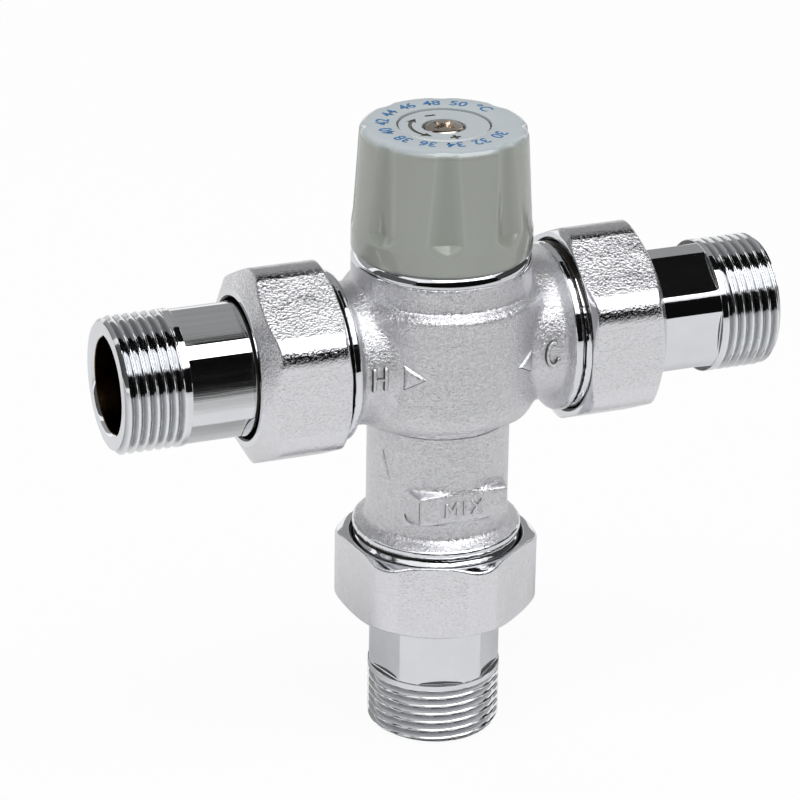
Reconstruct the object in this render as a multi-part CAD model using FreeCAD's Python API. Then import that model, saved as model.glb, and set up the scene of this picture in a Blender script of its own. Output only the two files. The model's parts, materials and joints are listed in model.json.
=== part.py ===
import FreeCAD
import Part
import math
import os

# All sizes are in millimetres. Every piece is drawn about the valve centre, where the inlet axis
# crosses the knob axis, and is lifted at the end so that the outlet tail stands on zero.
# Hot comes in from the left, cold from the right, mixed water leaves below, and the marks face front.

# Unions: a tail, its gasket and its nut on each of the three ports
inlet_tail_len = 33.5
outlet_tail_len = 32.1
pipe_thread_d = 26.44
pipe_thread_len = 12.0
tip_chamfer = 0.95
mouth_chamfer = 0.6
waterway_d = 18.6
tail_collar_d = 30.0
tail_collar_t = 3.5
tail_shank_d = 26.0
tail_flats_af = 24.2
tail_flats_len = 12.5
tail_ring_len = 1.0
hot_flats_turn = 10.0
cold_flats_turn = -4.0
mix_flats_turn = -14.7
gasket_t = 2.0
gasket_hole_d = 19.4
union_thread_d = 33.25
union_thread_len = 8.5
union_relief_w = 0.7
union_relief_depth = 1.0
port_chamfer = 0.8
nut_af = 36.5
nut_len = 17.0
nut_shoulder_t = 4.1
nut_corner_r = 3.5
nut_cone_deg = 30.0
nut_lip_w = 0.9
nut_mouth_w = 0.65
inlet_nut_turn = -2.5
mix_nut_turn = -22.5
nut_thread_clear = 0.15
nut_hole_clear = 0.5
nut_hole_chamfer = 0.4

# Body casting
barrel_d = 38.8
barrel_rise = 18.65
barrel_drop = 16.0
barrel_round = 8.0
belly_h = 29.6
belly_side_w = 14.6
belly_lift = 0.45
shoulder_drop = 6.45
shoulder_bevel = 0.9
knob_collar_step = 1.9
knob_collar_drop = 0.95
arm_d = 28.0
arm_reach = 12.6
neck_d = 28.0
neck_reach = 31.9
port_ring_step = 0.1
port_ring_len = 1.4
arm_flare_len = 1.3
neck_flare_len = 1.3
root_fillet = 2.0
pad_w = 18.4
pad_side_w = 1.1
pad_h = 6.4
pad_up = 18.4
pad_proud = 0.25
pad_round = 0.6

# Water spaces in the body
gallery_d = 32.0
gallery_h = 6.0
land_h = 6.0
land_d = 26.0
mix_bore_d = 22.0
spring_ledge_up = 17.9
gallery_wall = 1.5
passage_w = 13.0

# Bonnet
bonnet_thread_d = 29.0
bonnet_thread_clear = 0.05
bonnet_flange_t = 2.0
bonnet_flange_round = 0.6
bonnet_hex_af = 23.0
bonnet_hex_h = 8.3
bonnet_neck_d = 15.0
bonnet_neck_h = 6.0
bonnet_cap_t = 3.0
bonnet_ring_section = 1.6
bonnet_ring_drop = 1.5

# Control stem
stem_d = 9.0
stem_clear = 0.05
stem_thread_d = 10.0
stem_flange_d = 14.0
stem_flange_t = 1.75
stem_play = 0.05
stem_drive_d = 8.0
stem_drive_af = 6.0
stem_ring_section = 1.5
stem_ring_gap = 1.3
circlip_t = 0.8
circlip_w = 2.4
circlip_depth = 0.6
circlip_gap_w = 3.0

# Knob
knob_gap = 0.25
knob_overhang = 0.04
knob_h = 24.65
knob_band_h = 4.2
knob_taper = 1.39
knob_edge_r = 1.7
knob_wall = 3.24
knob_roof_t = 3.3
knob_disc_d = 18.1
knob_disc_depth = 0.4
knob_hub_d = 13.6
knob_hub_web = 0.7
knob_ribs = 4
knob_rib_t = 1.4
knob_rib_drop = 2.0
flutes = 8
flute_r = 7.6
flute_depth = 1.25
flute_top_depth = 0.2
flute_ramp_h = 2.0
flute_turn = -19.0
drive_clear = 0.05
screw_d = 4.0
screw_len = 10.0
screw_sink = 0.3
screw_head_d = 7.6
screw_head_h = 2.0
screw_hole_clear = 0.25
screw_well_clear = 0.4
screw_thread_clear = 0.05

# Carriage, overtravel parts and push rod
thread_lead = 2.0
knob_half_turn_deg = 150.0
carriage_af = 18.0
carriage_clear = 0.15
carriage_nut_h = 4.0
carriage_end_gap = 0.15
carriage_bore_d = 14.8
carriage_thread_clear = 0.05
overtravel_wire_d = 1.7
overtravel_coils = 2.5
overtravel_spring_h = 4.8
overtravel_spring_d = 14.2
plunger_t = 1.6
plunger_clear = 0.2
ring_t = 0.8
ring_depth = 0.65
ring_w = 1.8
ring_gap_w = 4.0
ring_wall = 0.9
fit_gap = 0.05
rod_d = 3.2
rod_clear = 0.05
rod_end_gap = 1.0

# Shuttle, wax sensor and return spring
shuttle_clear = 0.15
shuttle_wall = 2.85
shuttle_h = 14.0
shuttle_floor_t = 1.6
shuttle_window_d = 17.2
shuttle_ring_section = 1.8
shuttle_ring_clear = 0.03
hub_d = 13.6
hub_h = 2.5
hub_arms = 4
hub_arm_w = 3.0
sensor_bulb_d = 8.4
sensor_bulb_len = 20.0
sensor_collar_d = 12.0
sensor_collar_h = 2.5
sensor_neck_d = 6.4
sensor_neck_h = 6.0
sensor_clear = 0.1
return_wire_d = 1.2
return_spring_d = 21.2
return_coils = 5.0
spring_sides = 6
ring_sides = 8

# Check valves in the inlet tails, strainers in the inlet ports
cartridge_d = 20.8
cartridge_len = 15.0
cartridge_clear = 0.15
cartridge_end_gap = 0.1
cartridge_wall = 1.2
seat_d = 13.6
seat_t = 2.6
guide_d = 6.0
guide_h = 2.6
guide_arms = 3
guide_arm_w = 1.6
check_ring_section = 1.4
check_ring_clear = 0.02
poppet_d = 16.0
poppet_t = 1.5
poppet_nose_d = 11.0
poppet_nose_h = 2.0
poppet_tip_d = 4.0
poppet_stem_d = 2.6
poppet_stem_clear = 0.08
poppet_stem_proud = 0.5
check_spring_d = 5.2
check_wire_d = 0.5
check_coils = 4.0
strainer_rim_w = 2.0
strainer_rim_t = 0.9
strainer_rim_clear = 0.2
strainer_seat_depth = 1.0
strainer_d = 19.2
strainer_gap = 0.8
strainer_wall = 0.6
strainer_len = 11.5
strainer_windows = 10
strainer_window_w = 3.6
strainer_window_h = 3.6
strainer_bar_h = 1.2

# Places that follow from the sizes above
pipe_r = pipe_thread_d / 2
union_r = union_thread_d / 2
nut_bore_r = union_r + nut_thread_clear
nut_hole_r = pipe_r + nut_hole_clear
nut_lip_r = nut_hole_r + nut_hole_chamfer + nut_lip_w
belly_w = barrel_d + 2 * belly_side_w
belly_top = belly_lift + belly_h / 2
barrel_foot = -barrel_drop
shoulder = barrel_rise - shoulder_drop
knob_collar_top = barrel_rise - knob_collar_drop
inlet_face = barrel_d / 2 + arm_reach
outlet_face = neck_reach - barrel_foot
pad_mid = pad_up - outlet_face
spring_ledge = spring_ledge_up - outlet_face
knob_collar_d = barrel_d - 2 * knob_collar_step
knob_foot_d = knob_collar_d + 2 * knob_overhang
knob_top_d = knob_foot_d - 2 * knob_taper
knob_bore_d = knob_foot_d - 2 * knob_wall
strainer_rim_d = strainer_d + 2 * strainer_rim_w
port_bore_d = strainer_d + 2 * strainer_gap
port_bore_end = gallery_d / 2 + gallery_wall
land_top = land_h / 2
land_bottom = -land_h / 2
gallery_top = land_top + gallery_h
gallery_bottom = land_bottom - gallery_h
bonnet_foot = gallery_top
flange_top = knob_collar_top + bonnet_flange_t
bonnet_hex_top = flange_top + bonnet_hex_h
chamber_top = bonnet_hex_top - bonnet_cap_t
bonnet_top = bonnet_hex_top + bonnet_neck_h
chamber_af = carriage_af + 2 * carriage_clear
stem_flange_top = chamber_top - stem_play
stem_flange_foot = stem_flange_top - stem_flange_t
circlip_foot = bonnet_top + stem_play
circlip_top = circlip_foot + circlip_t
drive_foot = circlip_top + 2 * stem_play
knob_foot = flange_top + knob_gap
knob_top = knob_foot + knob_h
disc_floor = knob_top - knob_disc_depth
hub_foot = drive_foot + stem_play
web_top = knob_top - screw_sink - screw_head_h
web_foot = web_top - knob_hub_web
stem_top = web_foot - drive_clear
roof_foot = knob_top - knob_roof_t
carriage_travel = thread_lead * knob_half_turn_deg / 360
carriage_top = stem_flange_foot - carriage_travel - carriage_end_gap
cup_roof = carriage_top - carriage_nut_h
plunger_top = cup_roof - overtravel_spring_h
plunger_foot = plunger_top - plunger_t
ring_top = plunger_foot - fit_gap
ring_foot = ring_top - ring_t
carriage_foot = ring_foot - ring_wall
stem_foot = cup_roof - carriage_travel - carriage_end_gap
shuttle_foot = -shuttle_h / 2
shuttle_top = shuttle_h / 2
shuttle_r = land_d / 2 - shuttle_clear
shuttle_bore_r = shuttle_r - shuttle_wall
hub_top = shuttle_foot + hub_h
sensor_collar_top = hub_top + sensor_collar_h
sensor_top = sensor_collar_top + sensor_neck_h
bulb_foot = hub_top - sensor_bulb_len
rod_foot = sensor_collar_top + rod_end_gap
strainer_bore_r = strainer_d / 2 - strainer_wall


def vec(x, y, z):
    return FreeCAD.Vector(x, y, z)


def turned(points):
    # a solid of revolution about the Z axis from (radius, height) corners
    corners = [vec(r, 0, z) for r, z in points]
    outline = Part.makePolygon(corners + corners[:1])
    return Part.Face(outline).revolve(vec(0, 0, 0), vec(0, 0, 1), 360)


def rod(r, foot, top):
    return Part.makeCylinder(r, top - foot, vec(0, 0, foot))


def ring(outer_r, inner_r, foot, top):
    return rod(outer_r, foot, top).cut(rod(inner_r, foot, top))


def block(x0, x1, y0, y1, foot, top):
    return Part.makeBox(x1 - x0, y1 - y0, top - foot, vec(x0, y0, foot))


def hexagon(across_flats, foot, top, corner_r=0):
    # one flat faces front
    reach = across_flats / math.sqrt(3)
    turns = [math.radians(60 * k) for k in range(7)]
    corners = [vec(reach * math.cos(a), reach * math.sin(a), foot) for a in turns]
    prism = Part.Face(Part.makePolygon(corners)).extrude(vec(0, 0, top - foot))
    if corner_r > 0:
        uprights = [e for e in prism.Edges if abs(e.BoundBox.ZLength - (top - foot)) < 1e-6]
        prism = prism.makeFillet(corner_r, uprights)
    return prism


def spun(shape, degrees):
    copy = shape.copy()
    copy.rotate(vec(0, 0, 0), vec(0, 0, 1), degrees)
    return copy


def wire_section(middle_r, height, section_d, sides):
    # corners of a many-sided section whose flats lie on the round one
    reach = section_d / 2 / math.cos(math.pi / sides)
    turns = [math.pi / 2 + 2 * math.pi * (k + 0.5) / sides for k in range(sides)]
    return [(middle_r + reach * math.cos(a), height + reach * math.sin(a)) for a in turns]


def coil(outer_d, wire_d, foot, top, coils):
    # a wound spring whose wire bears on both seats
    helix_r = (outer_d - wire_d) / 2
    rise = top - foot - wire_d
    path = Part.makeHelix(rise / coils, rise, helix_r)
    corners = [vec(r, 0, z) for r, z in wire_section(helix_r, 0, wire_d, spring_sides)]
    wire = Part.makePolygon(corners + corners[:1])
    spring = Part.Wire(path).makePipeShell([wire], True, True)
    spring.translate(vec(0, 0, foot + wire_d / 2))
    return spring


def o_ring(middle_r, section_d, height):
    return turned(wire_section(middle_r, height, section_d, ring_sides))


def snap_ring(outer_r, inner_r, foot, top, gap_w):
    gap = block(0, outer_r + 1, -gap_w / 2, gap_w / 2, foot, top)
    return ring(outer_r, inner_r, foot, top).cut(gap)


def to_hot(shape, turn=0):
    # outward along the port becomes left; a positive turn tips the front upward
    copy = shape.copy()
    copy.rotate(vec(0, 0, 0), vec(0, 1, 0), -90)
    copy.rotate(vec(0, 0, 0), vec(1, 0, 0), -turn)
    return copy


def to_cold(shape, turn=0):
    copy = shape.copy()
    copy.rotate(vec(0, 0, 0), vec(0, 1, 0), 90)
    copy.rotate(vec(0, 0, 0), vec(1, 0, 0), -turn)
    return copy


def to_mix(shape, turn=0):
    # outward becomes down; a positive turn swings the front to the right
    copy = shape.copy()
    copy.rotate(vec(0, 0, 0), vec(1, 0, 0), 180)
    copy.rotate(vec(0, 0, 0), vec(0, 0, 1), turn)
    return copy


def port_outside(root_r, face, flare_len):
    # flare out of the arm or neck, ring, thread relief and union thread, drawn outward along Z
    thread_foot = face - union_thread_len
    relief_top = thread_foot + union_relief_w
    relief_r = union_r - union_relief_depth
    ring_r = union_r + port_ring_step
    ring_foot_u = thread_foot - port_ring_len
    sunk_foot = ring_foot_u - 2 * flare_len
    sunk_r = 2 * root_r - ring_r
    return turned([
        (0, sunk_foot),
        (sunk_r, sunk_foot),
        (ring_r, ring_foot_u),
        (ring_r, thread_foot),
        (relief_r, thread_foot),
        (relief_r, relief_top),
        (union_r, relief_top + union_relief_depth),
        (union_r, face - port_chamfer),
        (union_r - port_chamfer, face),
        (0, face),
    ])


def barrel_outside():
    # the upright barrel, rounded where it draws in to the neck
    barrel_r = barrel_d / 2
    round_mid = barrel_foot + barrel_round
    slant = math.sqrt(0.5) * barrel_round
    side = Part.makePolygon([
        vec(0, 0, barrel_foot),
        vec(0, 0, knob_collar_top),
        vec(barrel_r, 0, knob_collar_top),
        vec(barrel_r, 0, round_mid),
    ])
    corner = Part.Arc(
        vec(barrel_r, 0, round_mid),
        vec(barrel_r - barrel_round + slant, 0, round_mid - slant),
        vec(barrel_r - barrel_round, 0, barrel_foot),
    )
    floor = Part.makePolygon([vec(barrel_r - barrel_round, 0, barrel_foot), vec(0, 0, barrel_foot)])
    outline = Part.Wire(side.Edges + [corner.toShape()] + floor.Edges)
    return Part.Face(outline).revolve(vec(0, 0, 0), vec(0, 0, 1), 360)


def belly():
    # a broad oval bar lying along the inlets: its lower face bounds the barrel from below
    reach = 2 * inlet_face
    oval = Part.Ellipse(vec(0, belly_w / 2, belly_lift), vec(0, 0, belly_top), vec(0, 0, belly_lift))
    bar = Part.Face(Part.Wire(oval.toShape())).extrude(vec(2 * reach, 0, 0))
    bar.translate(vec(-reach, 0, 0))
    return bar.fuse(block(-reach, reach, -belly_w / 2, belly_w / 2, belly_lift, knob_collar_top))


def edge_points(edge):
    span = edge.LastParameter - edge.FirstParameter
    return [edge.valueAt(edge.FirstParameter + span * share) for share in (0.2, 0.5, 0.8)]


def arm_roots(shape):
    # the curves where the arms run into the barrel
    arm_r = arm_d / 2
    found = []
    for edge in shape.Edges:
        on_arm = all(abs(math.hypot(p.y, p.z) - arm_r) < 1e-3 for p in edge_points(edge))
        inside = abs(edge.CenterOfMass.x) < barrel_d / 2
        if on_arm and inside and not isinstance(edge.Curve, Part.Line):
            found.append(edge)
    return found


def above_shoulder():
    # the ring of space round the knob collar, down to the barrel's bevelled shoulder
    collar_r = knob_collar_d / 2
    flat_r = barrel_d / 2 - shoulder_bevel
    bevel_r = barrel_d / 2 + shoulder_bevel / 2
    bevel_foot = shoulder - (bevel_r - flat_r)
    outer_r = bevel_r + root_fillet
    clear_top = knob_collar_top + root_fillet
    return turned([
        (collar_r, shoulder),
        (flat_r, shoulder),
        (bevel_r, bevel_foot),
        (outer_r, bevel_foot),
        (outer_r, clear_top),
        (collar_r, clear_top),
    ])


def mix_pad():
    # flat-faced plates at the front and back of the neck: the front one carries the outlet's mark
    face_y = neck_d / 2 + pad_proud
    half = pad_w / 2
    root = half + pad_side_w
    back_y = math.sqrt((neck_d / 2) ** 2 - root ** 2)
    foot = pad_mid - pad_h / 2
    corners = [(-root, -back_y), (-half, -face_y), (half, -face_y), (root, -back_y), (root, back_y),
               (half, face_y), (-half, face_y), (-root, back_y)]
    outline = [vec(x, y, foot) for x, y in corners]
    plate = Part.Face(Part.makePolygon(outline + outline[:1])).extrude(vec(0, 0, pad_h))
    return plate.makeFillet(pad_round, plate.Edges)


def valve_body():
    arm = rod(arm_d / 2, 0, inlet_face - union_thread_len)
    neck = rod(neck_d / 2, 0, outlet_face - union_thread_len)
    inlet_port = port_outside(arm_d / 2, inlet_face, arm_flare_len)
    outlet_port = port_outside(neck_d / 2, outlet_face, neck_flare_len)
    outside = barrel_outside().fuse([to_hot(arm), to_cold(arm)])
    outside = outside.makeFillet(root_fillet, arm_roots(outside))
    outside = outside.common(belly())
    # clearing the shoulder takes the arms' crowns, so the arms are laid in again
    outside = outside.cut(above_shoulder())
    outside = outside.fuse([to_mix(neck), to_hot(arm), to_cold(arm)])
    outside = outside.fuse([to_hot(inlet_port), to_cold(inlet_port), to_mix(outlet_port)])
    outside = outside.fuse(mix_pad())

    bore = turned([
        (0, -outlet_face),
        (waterway_d / 2, -outlet_face),
        (waterway_d / 2, spring_ledge),
        (mix_bore_d / 2, spring_ledge),
        (mix_bore_d / 2, gallery_bottom),
        (gallery_d / 2, gallery_bottom),
        (gallery_d / 2, land_bottom),
        (land_d / 2, land_bottom),
        (land_d / 2, land_top),
        (gallery_d / 2, land_top),
        (gallery_d / 2, gallery_top),
        (bonnet_thread_d / 2 + bonnet_thread_clear, gallery_top),
        (bonnet_thread_d / 2 + bonnet_thread_clear, knob_collar_top),
        (0, knob_collar_top),
    ])
    inlet = rod(port_bore_d / 2, port_bore_end, inlet_face)
    seat_r = strainer_rim_d / 2 + strainer_rim_clear
    inlet = inlet.fuse(rod(seat_r, inlet_face - strainer_seat_depth, inlet_face))
    passage_x = port_bore_end + gallery_wall / 2
    half = passage_w / 2
    hot_passage = block(-passage_x, -land_d / 2, -half, half, gallery_bottom, land_bottom)
    cold_passage = block(land_d / 2, passage_x, -half, half, land_top, gallery_top)
    return outside.cut(bore.fuse([to_hot(inlet), to_cold(inlet), hot_passage, cold_passage]))


def tailpiece(length, with_cartridge):
    # drawn outward from the collar's gasket face
    tip_r = pipe_r - tip_chamfer
    bore_r = waterway_d / 2
    mouth_r = bore_r + mouth_chamfer
    flats_top = length - pipe_thread_len - tail_ring_len
    flats_foot = flats_top - tail_flats_len
    tail = turned([
        (bore_r, 0),
        (tail_collar_d / 2, 0),
        (tail_collar_d / 2, tail_collar_t),
        (tail_shank_d / 2, tail_collar_t),
        (tail_shank_d / 2, flats_top),
        (pipe_r, flats_top),
        (pipe_r, length - tip_chamfer),
        (tip_r, length),
        (mouth_r, length),
        (bore_r, length - mouth_chamfer),
    ])
    around = ring(pipe_r, bore_r, flats_foot, flats_top)
    tail = tail.cut(around.cut(hexagon(tail_flats_af, flats_foot, flats_top)))
    if with_cartridge:
        well_r = cartridge_d / 2 + cartridge_clear
        tail = tail.cut(rod(well_r, 0, cartridge_len + cartridge_end_gap))
    return tail


def union_nut():
    # drawn outward from the tail collar's back face, where the nut's shoulder bears
    top = nut_shoulder_t
    foot = top - nut_len
    corner_r = nut_af / math.sqrt(3)
    slope = math.tan(math.radians(nut_cone_deg))
    mouth_r = nut_bore_r + nut_mouth_w
    rim_r = mouth_r + nut_lip_w
    cone = turned([
        (0, foot),
        (rim_r, foot),
        (corner_r + 1, foot + (corner_r + 1 - rim_r) * slope),
        (corner_r + 1, top - (corner_r + 1 - nut_lip_r) * slope),
        (nut_lip_r, top),
        (0, top),
    ])
    bore = turned([
        (0, foot),
        (mouth_r, foot),
        (nut_bore_r, foot + nut_mouth_w),
        (nut_bore_r, 0),
        (nut_hole_r, 0),
        (nut_hole_r, top - nut_hole_chamfer),
        (nut_hole_r + nut_hole_chamfer, top),
        (0, top),
    ])
    return hexagon(nut_af, foot, top, nut_corner_r).common(cone).cut(bore)


def gasket():
    return ring(tail_collar_d / 2, gasket_hole_d / 2, 0, gasket_t)


def strainer():
    # a rimmed cup drawn outward, its rim level with the port face
    floor = inlet_face - strainer_len
    cup_r = strainer_d / 2
    rim_r = strainer_rim_d / 2
    cup = turned([
        (0, floor),
        (cup_r, floor),
        (cup_r, inlet_face - strainer_rim_t),
        (rim_r, inlet_face - strainer_rim_t),
        (rim_r, inlet_face),
        (strainer_bore_r, inlet_face),
        (strainer_bore_r, floor + strainer_wall),
        (0, floor + strainer_wall),
    ])
    half = strainer_window_w / 2
    first = floor + strainer_wall + strainer_bar_h
    second = first + strainer_window_h + strainer_bar_h
    for k in range(strainer_windows):
        for foot in (first, second):
            window = block(strainer_bore_r - 1, cup_r + 1, -half, half, foot, foot + strainer_window_h)
            cup = cup.cut(spun(window, 360 / strainer_windows * k))
    for k in range(strainer_windows // 2):
        hole = rod(half, floor, floor + strainer_wall)
        hole.translate(vec(cup_r - 2 * strainer_window_w / 2 - strainer_bar_h, 0, 0))
        cup = cup.cut(spun(hole, 720 / strainer_windows * k))
    return cup


def check_housing():
    # drawn outward from the tail's gasket face: guide at the valve side, seat at the pipe side
    outer_r = cartridge_d / 2
    inner_r = outer_r - cartridge_wall
    seat_foot = cartridge_len - seat_t
    shell = turned([
        (inner_r, 0),
        (outer_r, 0),
        (outer_r, cartridge_len),
        (seat_d / 2, cartridge_len),
        (seat_d / 2, seat_foot),
        (inner_r, seat_foot),
    ])
    guide = rod(guide_d / 2, 0, guide_h)
    half = guide_arm_w / 2
    for k in range(guide_arms):
        arm = block(0, inner_r + cartridge_wall / 2, -half, half, 0, guide_h)
        guide = guide.fuse(spun(arm, 360 / guide_arms * k))
    guide = guide.cut(rod(poppet_stem_d / 2 + poppet_stem_clear, 0, guide_h))
    groove_mid = cartridge_len - seat_t / 2
    groove_r = check_ring_middle() - check_ring_section / 2
    half_w = check_ring_section / 2 + fit_gap
    groove = ring(outer_r + 1, groove_r, groove_mid - half_w, groove_mid + half_w)
    return shell.fuse(guide).cut(groove)


def check_ring_middle():
    return cartridge_d / 2 + cartridge_clear - check_ring_clear - check_ring_section / 2


def check_ring():
    return o_ring(check_ring_middle(), check_ring_section, cartridge_len - seat_t / 2)


def check_poppet():
    disc_top = cartridge_len - seat_t
    disc_foot = disc_top - poppet_t
    stem_r = poppet_stem_d / 2
    return turned([
        (0, poppet_stem_proud),
        (stem_r, poppet_stem_proud),
        (stem_r, disc_foot),
        (poppet_d / 2, disc_foot),
        (poppet_d / 2, disc_top),
        (poppet_nose_d / 2, disc_top),
        (poppet_tip_d / 2, disc_top + poppet_nose_h),
        (0, disc_top + poppet_nose_h),
    ])


def check_spring():
    disc_foot = cartridge_len - seat_t - poppet_t
    return coil(check_spring_d, check_wire_d, guide_h, disc_foot, check_coils)


def bonnet_ring_middle():
    return bonnet_thread_d / 2 + bonnet_thread_clear - check_ring_clear - bonnet_ring_section / 2


def bonnet():
    thread_r = bonnet_thread_d / 2
    neck_bore_r = stem_d / 2 + stem_clear
    flange = rod(knob_collar_d / 2, knob_collar_top, flange_top)
    rims = [edge for edge in flange.Edges if isinstance(edge.Curve, Part.Circle)]
    shell = rod(thread_r, bonnet_foot, knob_collar_top)
    shell = shell.fuse([
        flange.makeFillet(bonnet_flange_round, rims),
        hexagon(bonnet_hex_af, flange_top, bonnet_hex_top),
        rod(bonnet_neck_d / 2, bonnet_hex_top, bonnet_top),
    ])
    ring_mid = knob_collar_top - bonnet_ring_drop
    groove_r = bonnet_ring_middle() - bonnet_ring_section / 2
    half_w = bonnet_ring_section / 2 + fit_gap
    return shell.cut(hexagon(chamber_af, bonnet_foot, chamber_top).fuse([
        rod(neck_bore_r, chamber_top, bonnet_top),
        ring(thread_r + 0.2, groove_r, ring_mid - half_w, ring_mid + half_w),
    ]))


def bonnet_o_ring():
    return o_ring(bonnet_ring_middle(), bonnet_ring_section, knob_collar_top - bonnet_ring_drop)


def stem_ring_middle():
    return stem_d / 2 + stem_clear - check_ring_clear - stem_ring_section / 2


def stem_ring_heights():
    mid = (bonnet_hex_top - bonnet_cap_t + bonnet_top) / 2
    step = (stem_ring_section + stem_ring_gap) / 2
    return [mid - step, mid + step]


def stem_o_rings():
    low, high = [o_ring(stem_ring_middle(), stem_ring_section, z) for z in stem_ring_heights()]
    return Part.makeCompound([low, high])


def control_stem():
    stem_r = stem_d / 2
    stem = rod(stem_thread_d / 2, stem_foot, stem_flange_foot)
    drive = rod(stem_drive_d / 2, drive_foot, stem_top)
    half = stem_drive_af / 2
    drive = drive.common(block(-stem_drive_d, stem_drive_d, -half, half, drive_foot, stem_top))
    stem = stem.fuse([
        rod(stem_flange_d / 2, stem_flange_foot, stem_flange_top),
        rod(stem_r, stem_flange_top, drive_foot),
        drive,
    ])
    groove_r = stem_ring_middle() - stem_ring_section / 2
    half_w = stem_ring_section / 2 + fit_gap
    for z in stem_ring_heights():
        stem = stem.cut(ring(stem_r + 1, groove_r, z - half_w, z + half_w))
    clip_r = stem_r - circlip_depth
    stem = stem.cut(ring(stem_r + 1, clip_r, circlip_foot, circlip_top + stem_play))
    tapped_foot = web_top - screw_len - fit_gap * 10
    return stem.cut(rod(screw_d / 2 + screw_thread_clear, tapped_foot, stem_top))


def stem_circlip():
    inner_r = stem_d / 2 - circlip_depth + fit_gap
    return snap_ring(inner_r + circlip_w, inner_r, circlip_foot, circlip_top, circlip_gap_w)


def flute():
    # one finger flute: a scoop that runs out towards the knob's top, with a sloping floor below
    foot_r = knob_foot_d / 2
    band_top = knob_foot + knob_band_h
    top_r = knob_top_d / 2
    lean = foot_r - flute_depth - (top_r - flute_top_depth)
    tilt = math.atan2(lean, knob_top - band_top)
    length = knob_h * 1.2
    bar = Part.makeCylinder(flute_r, length, vec(0, 0, 0))
    toe = Part.makeCone(flute_r - flute_depth, flute_r, flute_ramp_h, vec(0, 0, 0))
    bar = bar.cut(rod(flute_r + 1, -1, flute_ramp_h)).fuse(toe)
    bar.rotate(vec(0, 0, 0), vec(0, 1, 0), -math.degrees(tilt))
    bar.translate(vec(foot_r + flute_r - flute_depth, 0, band_top))
    return spun(bar, -90)


def knob_outside():
    foot_r = knob_foot_d / 2
    top_r = knob_top_d / 2
    band_top = knob_foot + knob_band_h
    cone = turned([
        (0, knob_foot),
        (foot_r, knob_foot),
        (foot_r, band_top),
        (top_r, knob_top),
        (0, knob_top),
    ])
    rim = [e for e in cone.Edges if e.BoundBox.ZMin > knob_top - 1e-3 and e.BoundBox.XLength > top_r]
    return cone.makeFillet(knob_edge_r, rim)


def adjusting_knob():
    scoop = flute()
    body = knob_outside().cut([spun(scoop, flute_turn + 360 / flutes * k) for k in range(flutes)])
    hollow = rod(knob_bore_d / 2, knob_foot, roof_foot)
    hub = rod(knob_hub_d / 2, hub_foot, roof_foot)
    ribs = []
    for k in range(knob_ribs):
        rib = block(0, knob_bore_d / 2, -knob_rib_t / 2, knob_rib_t / 2, hub_foot + knob_rib_drop, roof_foot)
        ribs.append(spun(rib, 45 + 360 / knob_ribs * k))
    hollow = hollow.cut(hub.fuse(ribs))

    drive = rod(stem_drive_d / 2 + drive_clear, hub_foot, web_foot)
    half = stem_drive_af / 2 + drive_clear
    drive = drive.common(block(-stem_drive_d, stem_drive_d, -half, half, hub_foot, web_foot))
    well = rod(screw_head_d / 2 + screw_well_clear, web_top, knob_top)
    disc = rod(knob_disc_d / 2, disc_floor, knob_top)
    hole = rod(screw_d / 2 + screw_hole_clear, web_foot, web_top)
    return body.cut([hollow, drive, well, disc, hole])


def knob_screw():
    head = rod(screw_head_d / 2, web_top, web_top + screw_head_h)
    crown = [e for e in head.Edges if e.BoundBox.ZMin > web_top + screw_head_h - 1e-3]
    head = head.makeFillet(screw_head_h / 2, crown)
    return head.fuse(rod(screw_d / 2, web_top - screw_len, web_top))


def carriage():
    cup = hexagon(carriage_af, carriage_foot, carriage_top)
    bore_r = carriage_bore_d / 2
    cavity = turned([
        (0, carriage_foot),
        (bore_r, carriage_foot),
        (bore_r, ring_foot),
        (bore_r + ring_depth, ring_foot),
        (bore_r + ring_depth, ring_top),
        (bore_r, ring_top),
        (bore_r, cup_roof),
        (stem_thread_d / 2 + carriage_thread_clear, cup_roof),
        (stem_thread_d / 2 + carriage_thread_clear, carriage_top),
        (0, carriage_top),
    ])
    return cup.cut(cavity)


def overtravel_spring():
    return coil(overtravel_spring_d, overtravel_wire_d, plunger_top, cup_roof, overtravel_coils)


def overtravel_plunger():
    return rod(carriage_bore_d / 2 - plunger_clear, plunger_foot, plunger_top)


def retaining_ring():
    outer_r = carriage_bore_d / 2 + ring_depth - fit_gap
    return snap_ring(outer_r, outer_r - ring_w, ring_foot, ring_top, ring_gap_w)


def push_rod():
    return rod(rod_d / 2, rod_foot, plunger_foot)


def wax_sensor():
    sensor = turned([
        (0, bulb_foot),
        (sensor_bulb_d / 2, bulb_foot),
        (sensor_bulb_d / 2, hub_top),
        (sensor_collar_d / 2, hub_top),
        (sensor_collar_d / 2, sensor_collar_top),
        (sensor_neck_d / 2, sensor_collar_top),
        (sensor_neck_d / 2, sensor_top),
        (0, sensor_top),
    ])
    return sensor.cut(rod(rod_d / 2 + rod_clear, rod_foot - rod_end_gap, sensor_top))


def shuttle_ring_middle():
    return land_d / 2 - shuttle_ring_clear - shuttle_ring_section / 2


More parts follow.
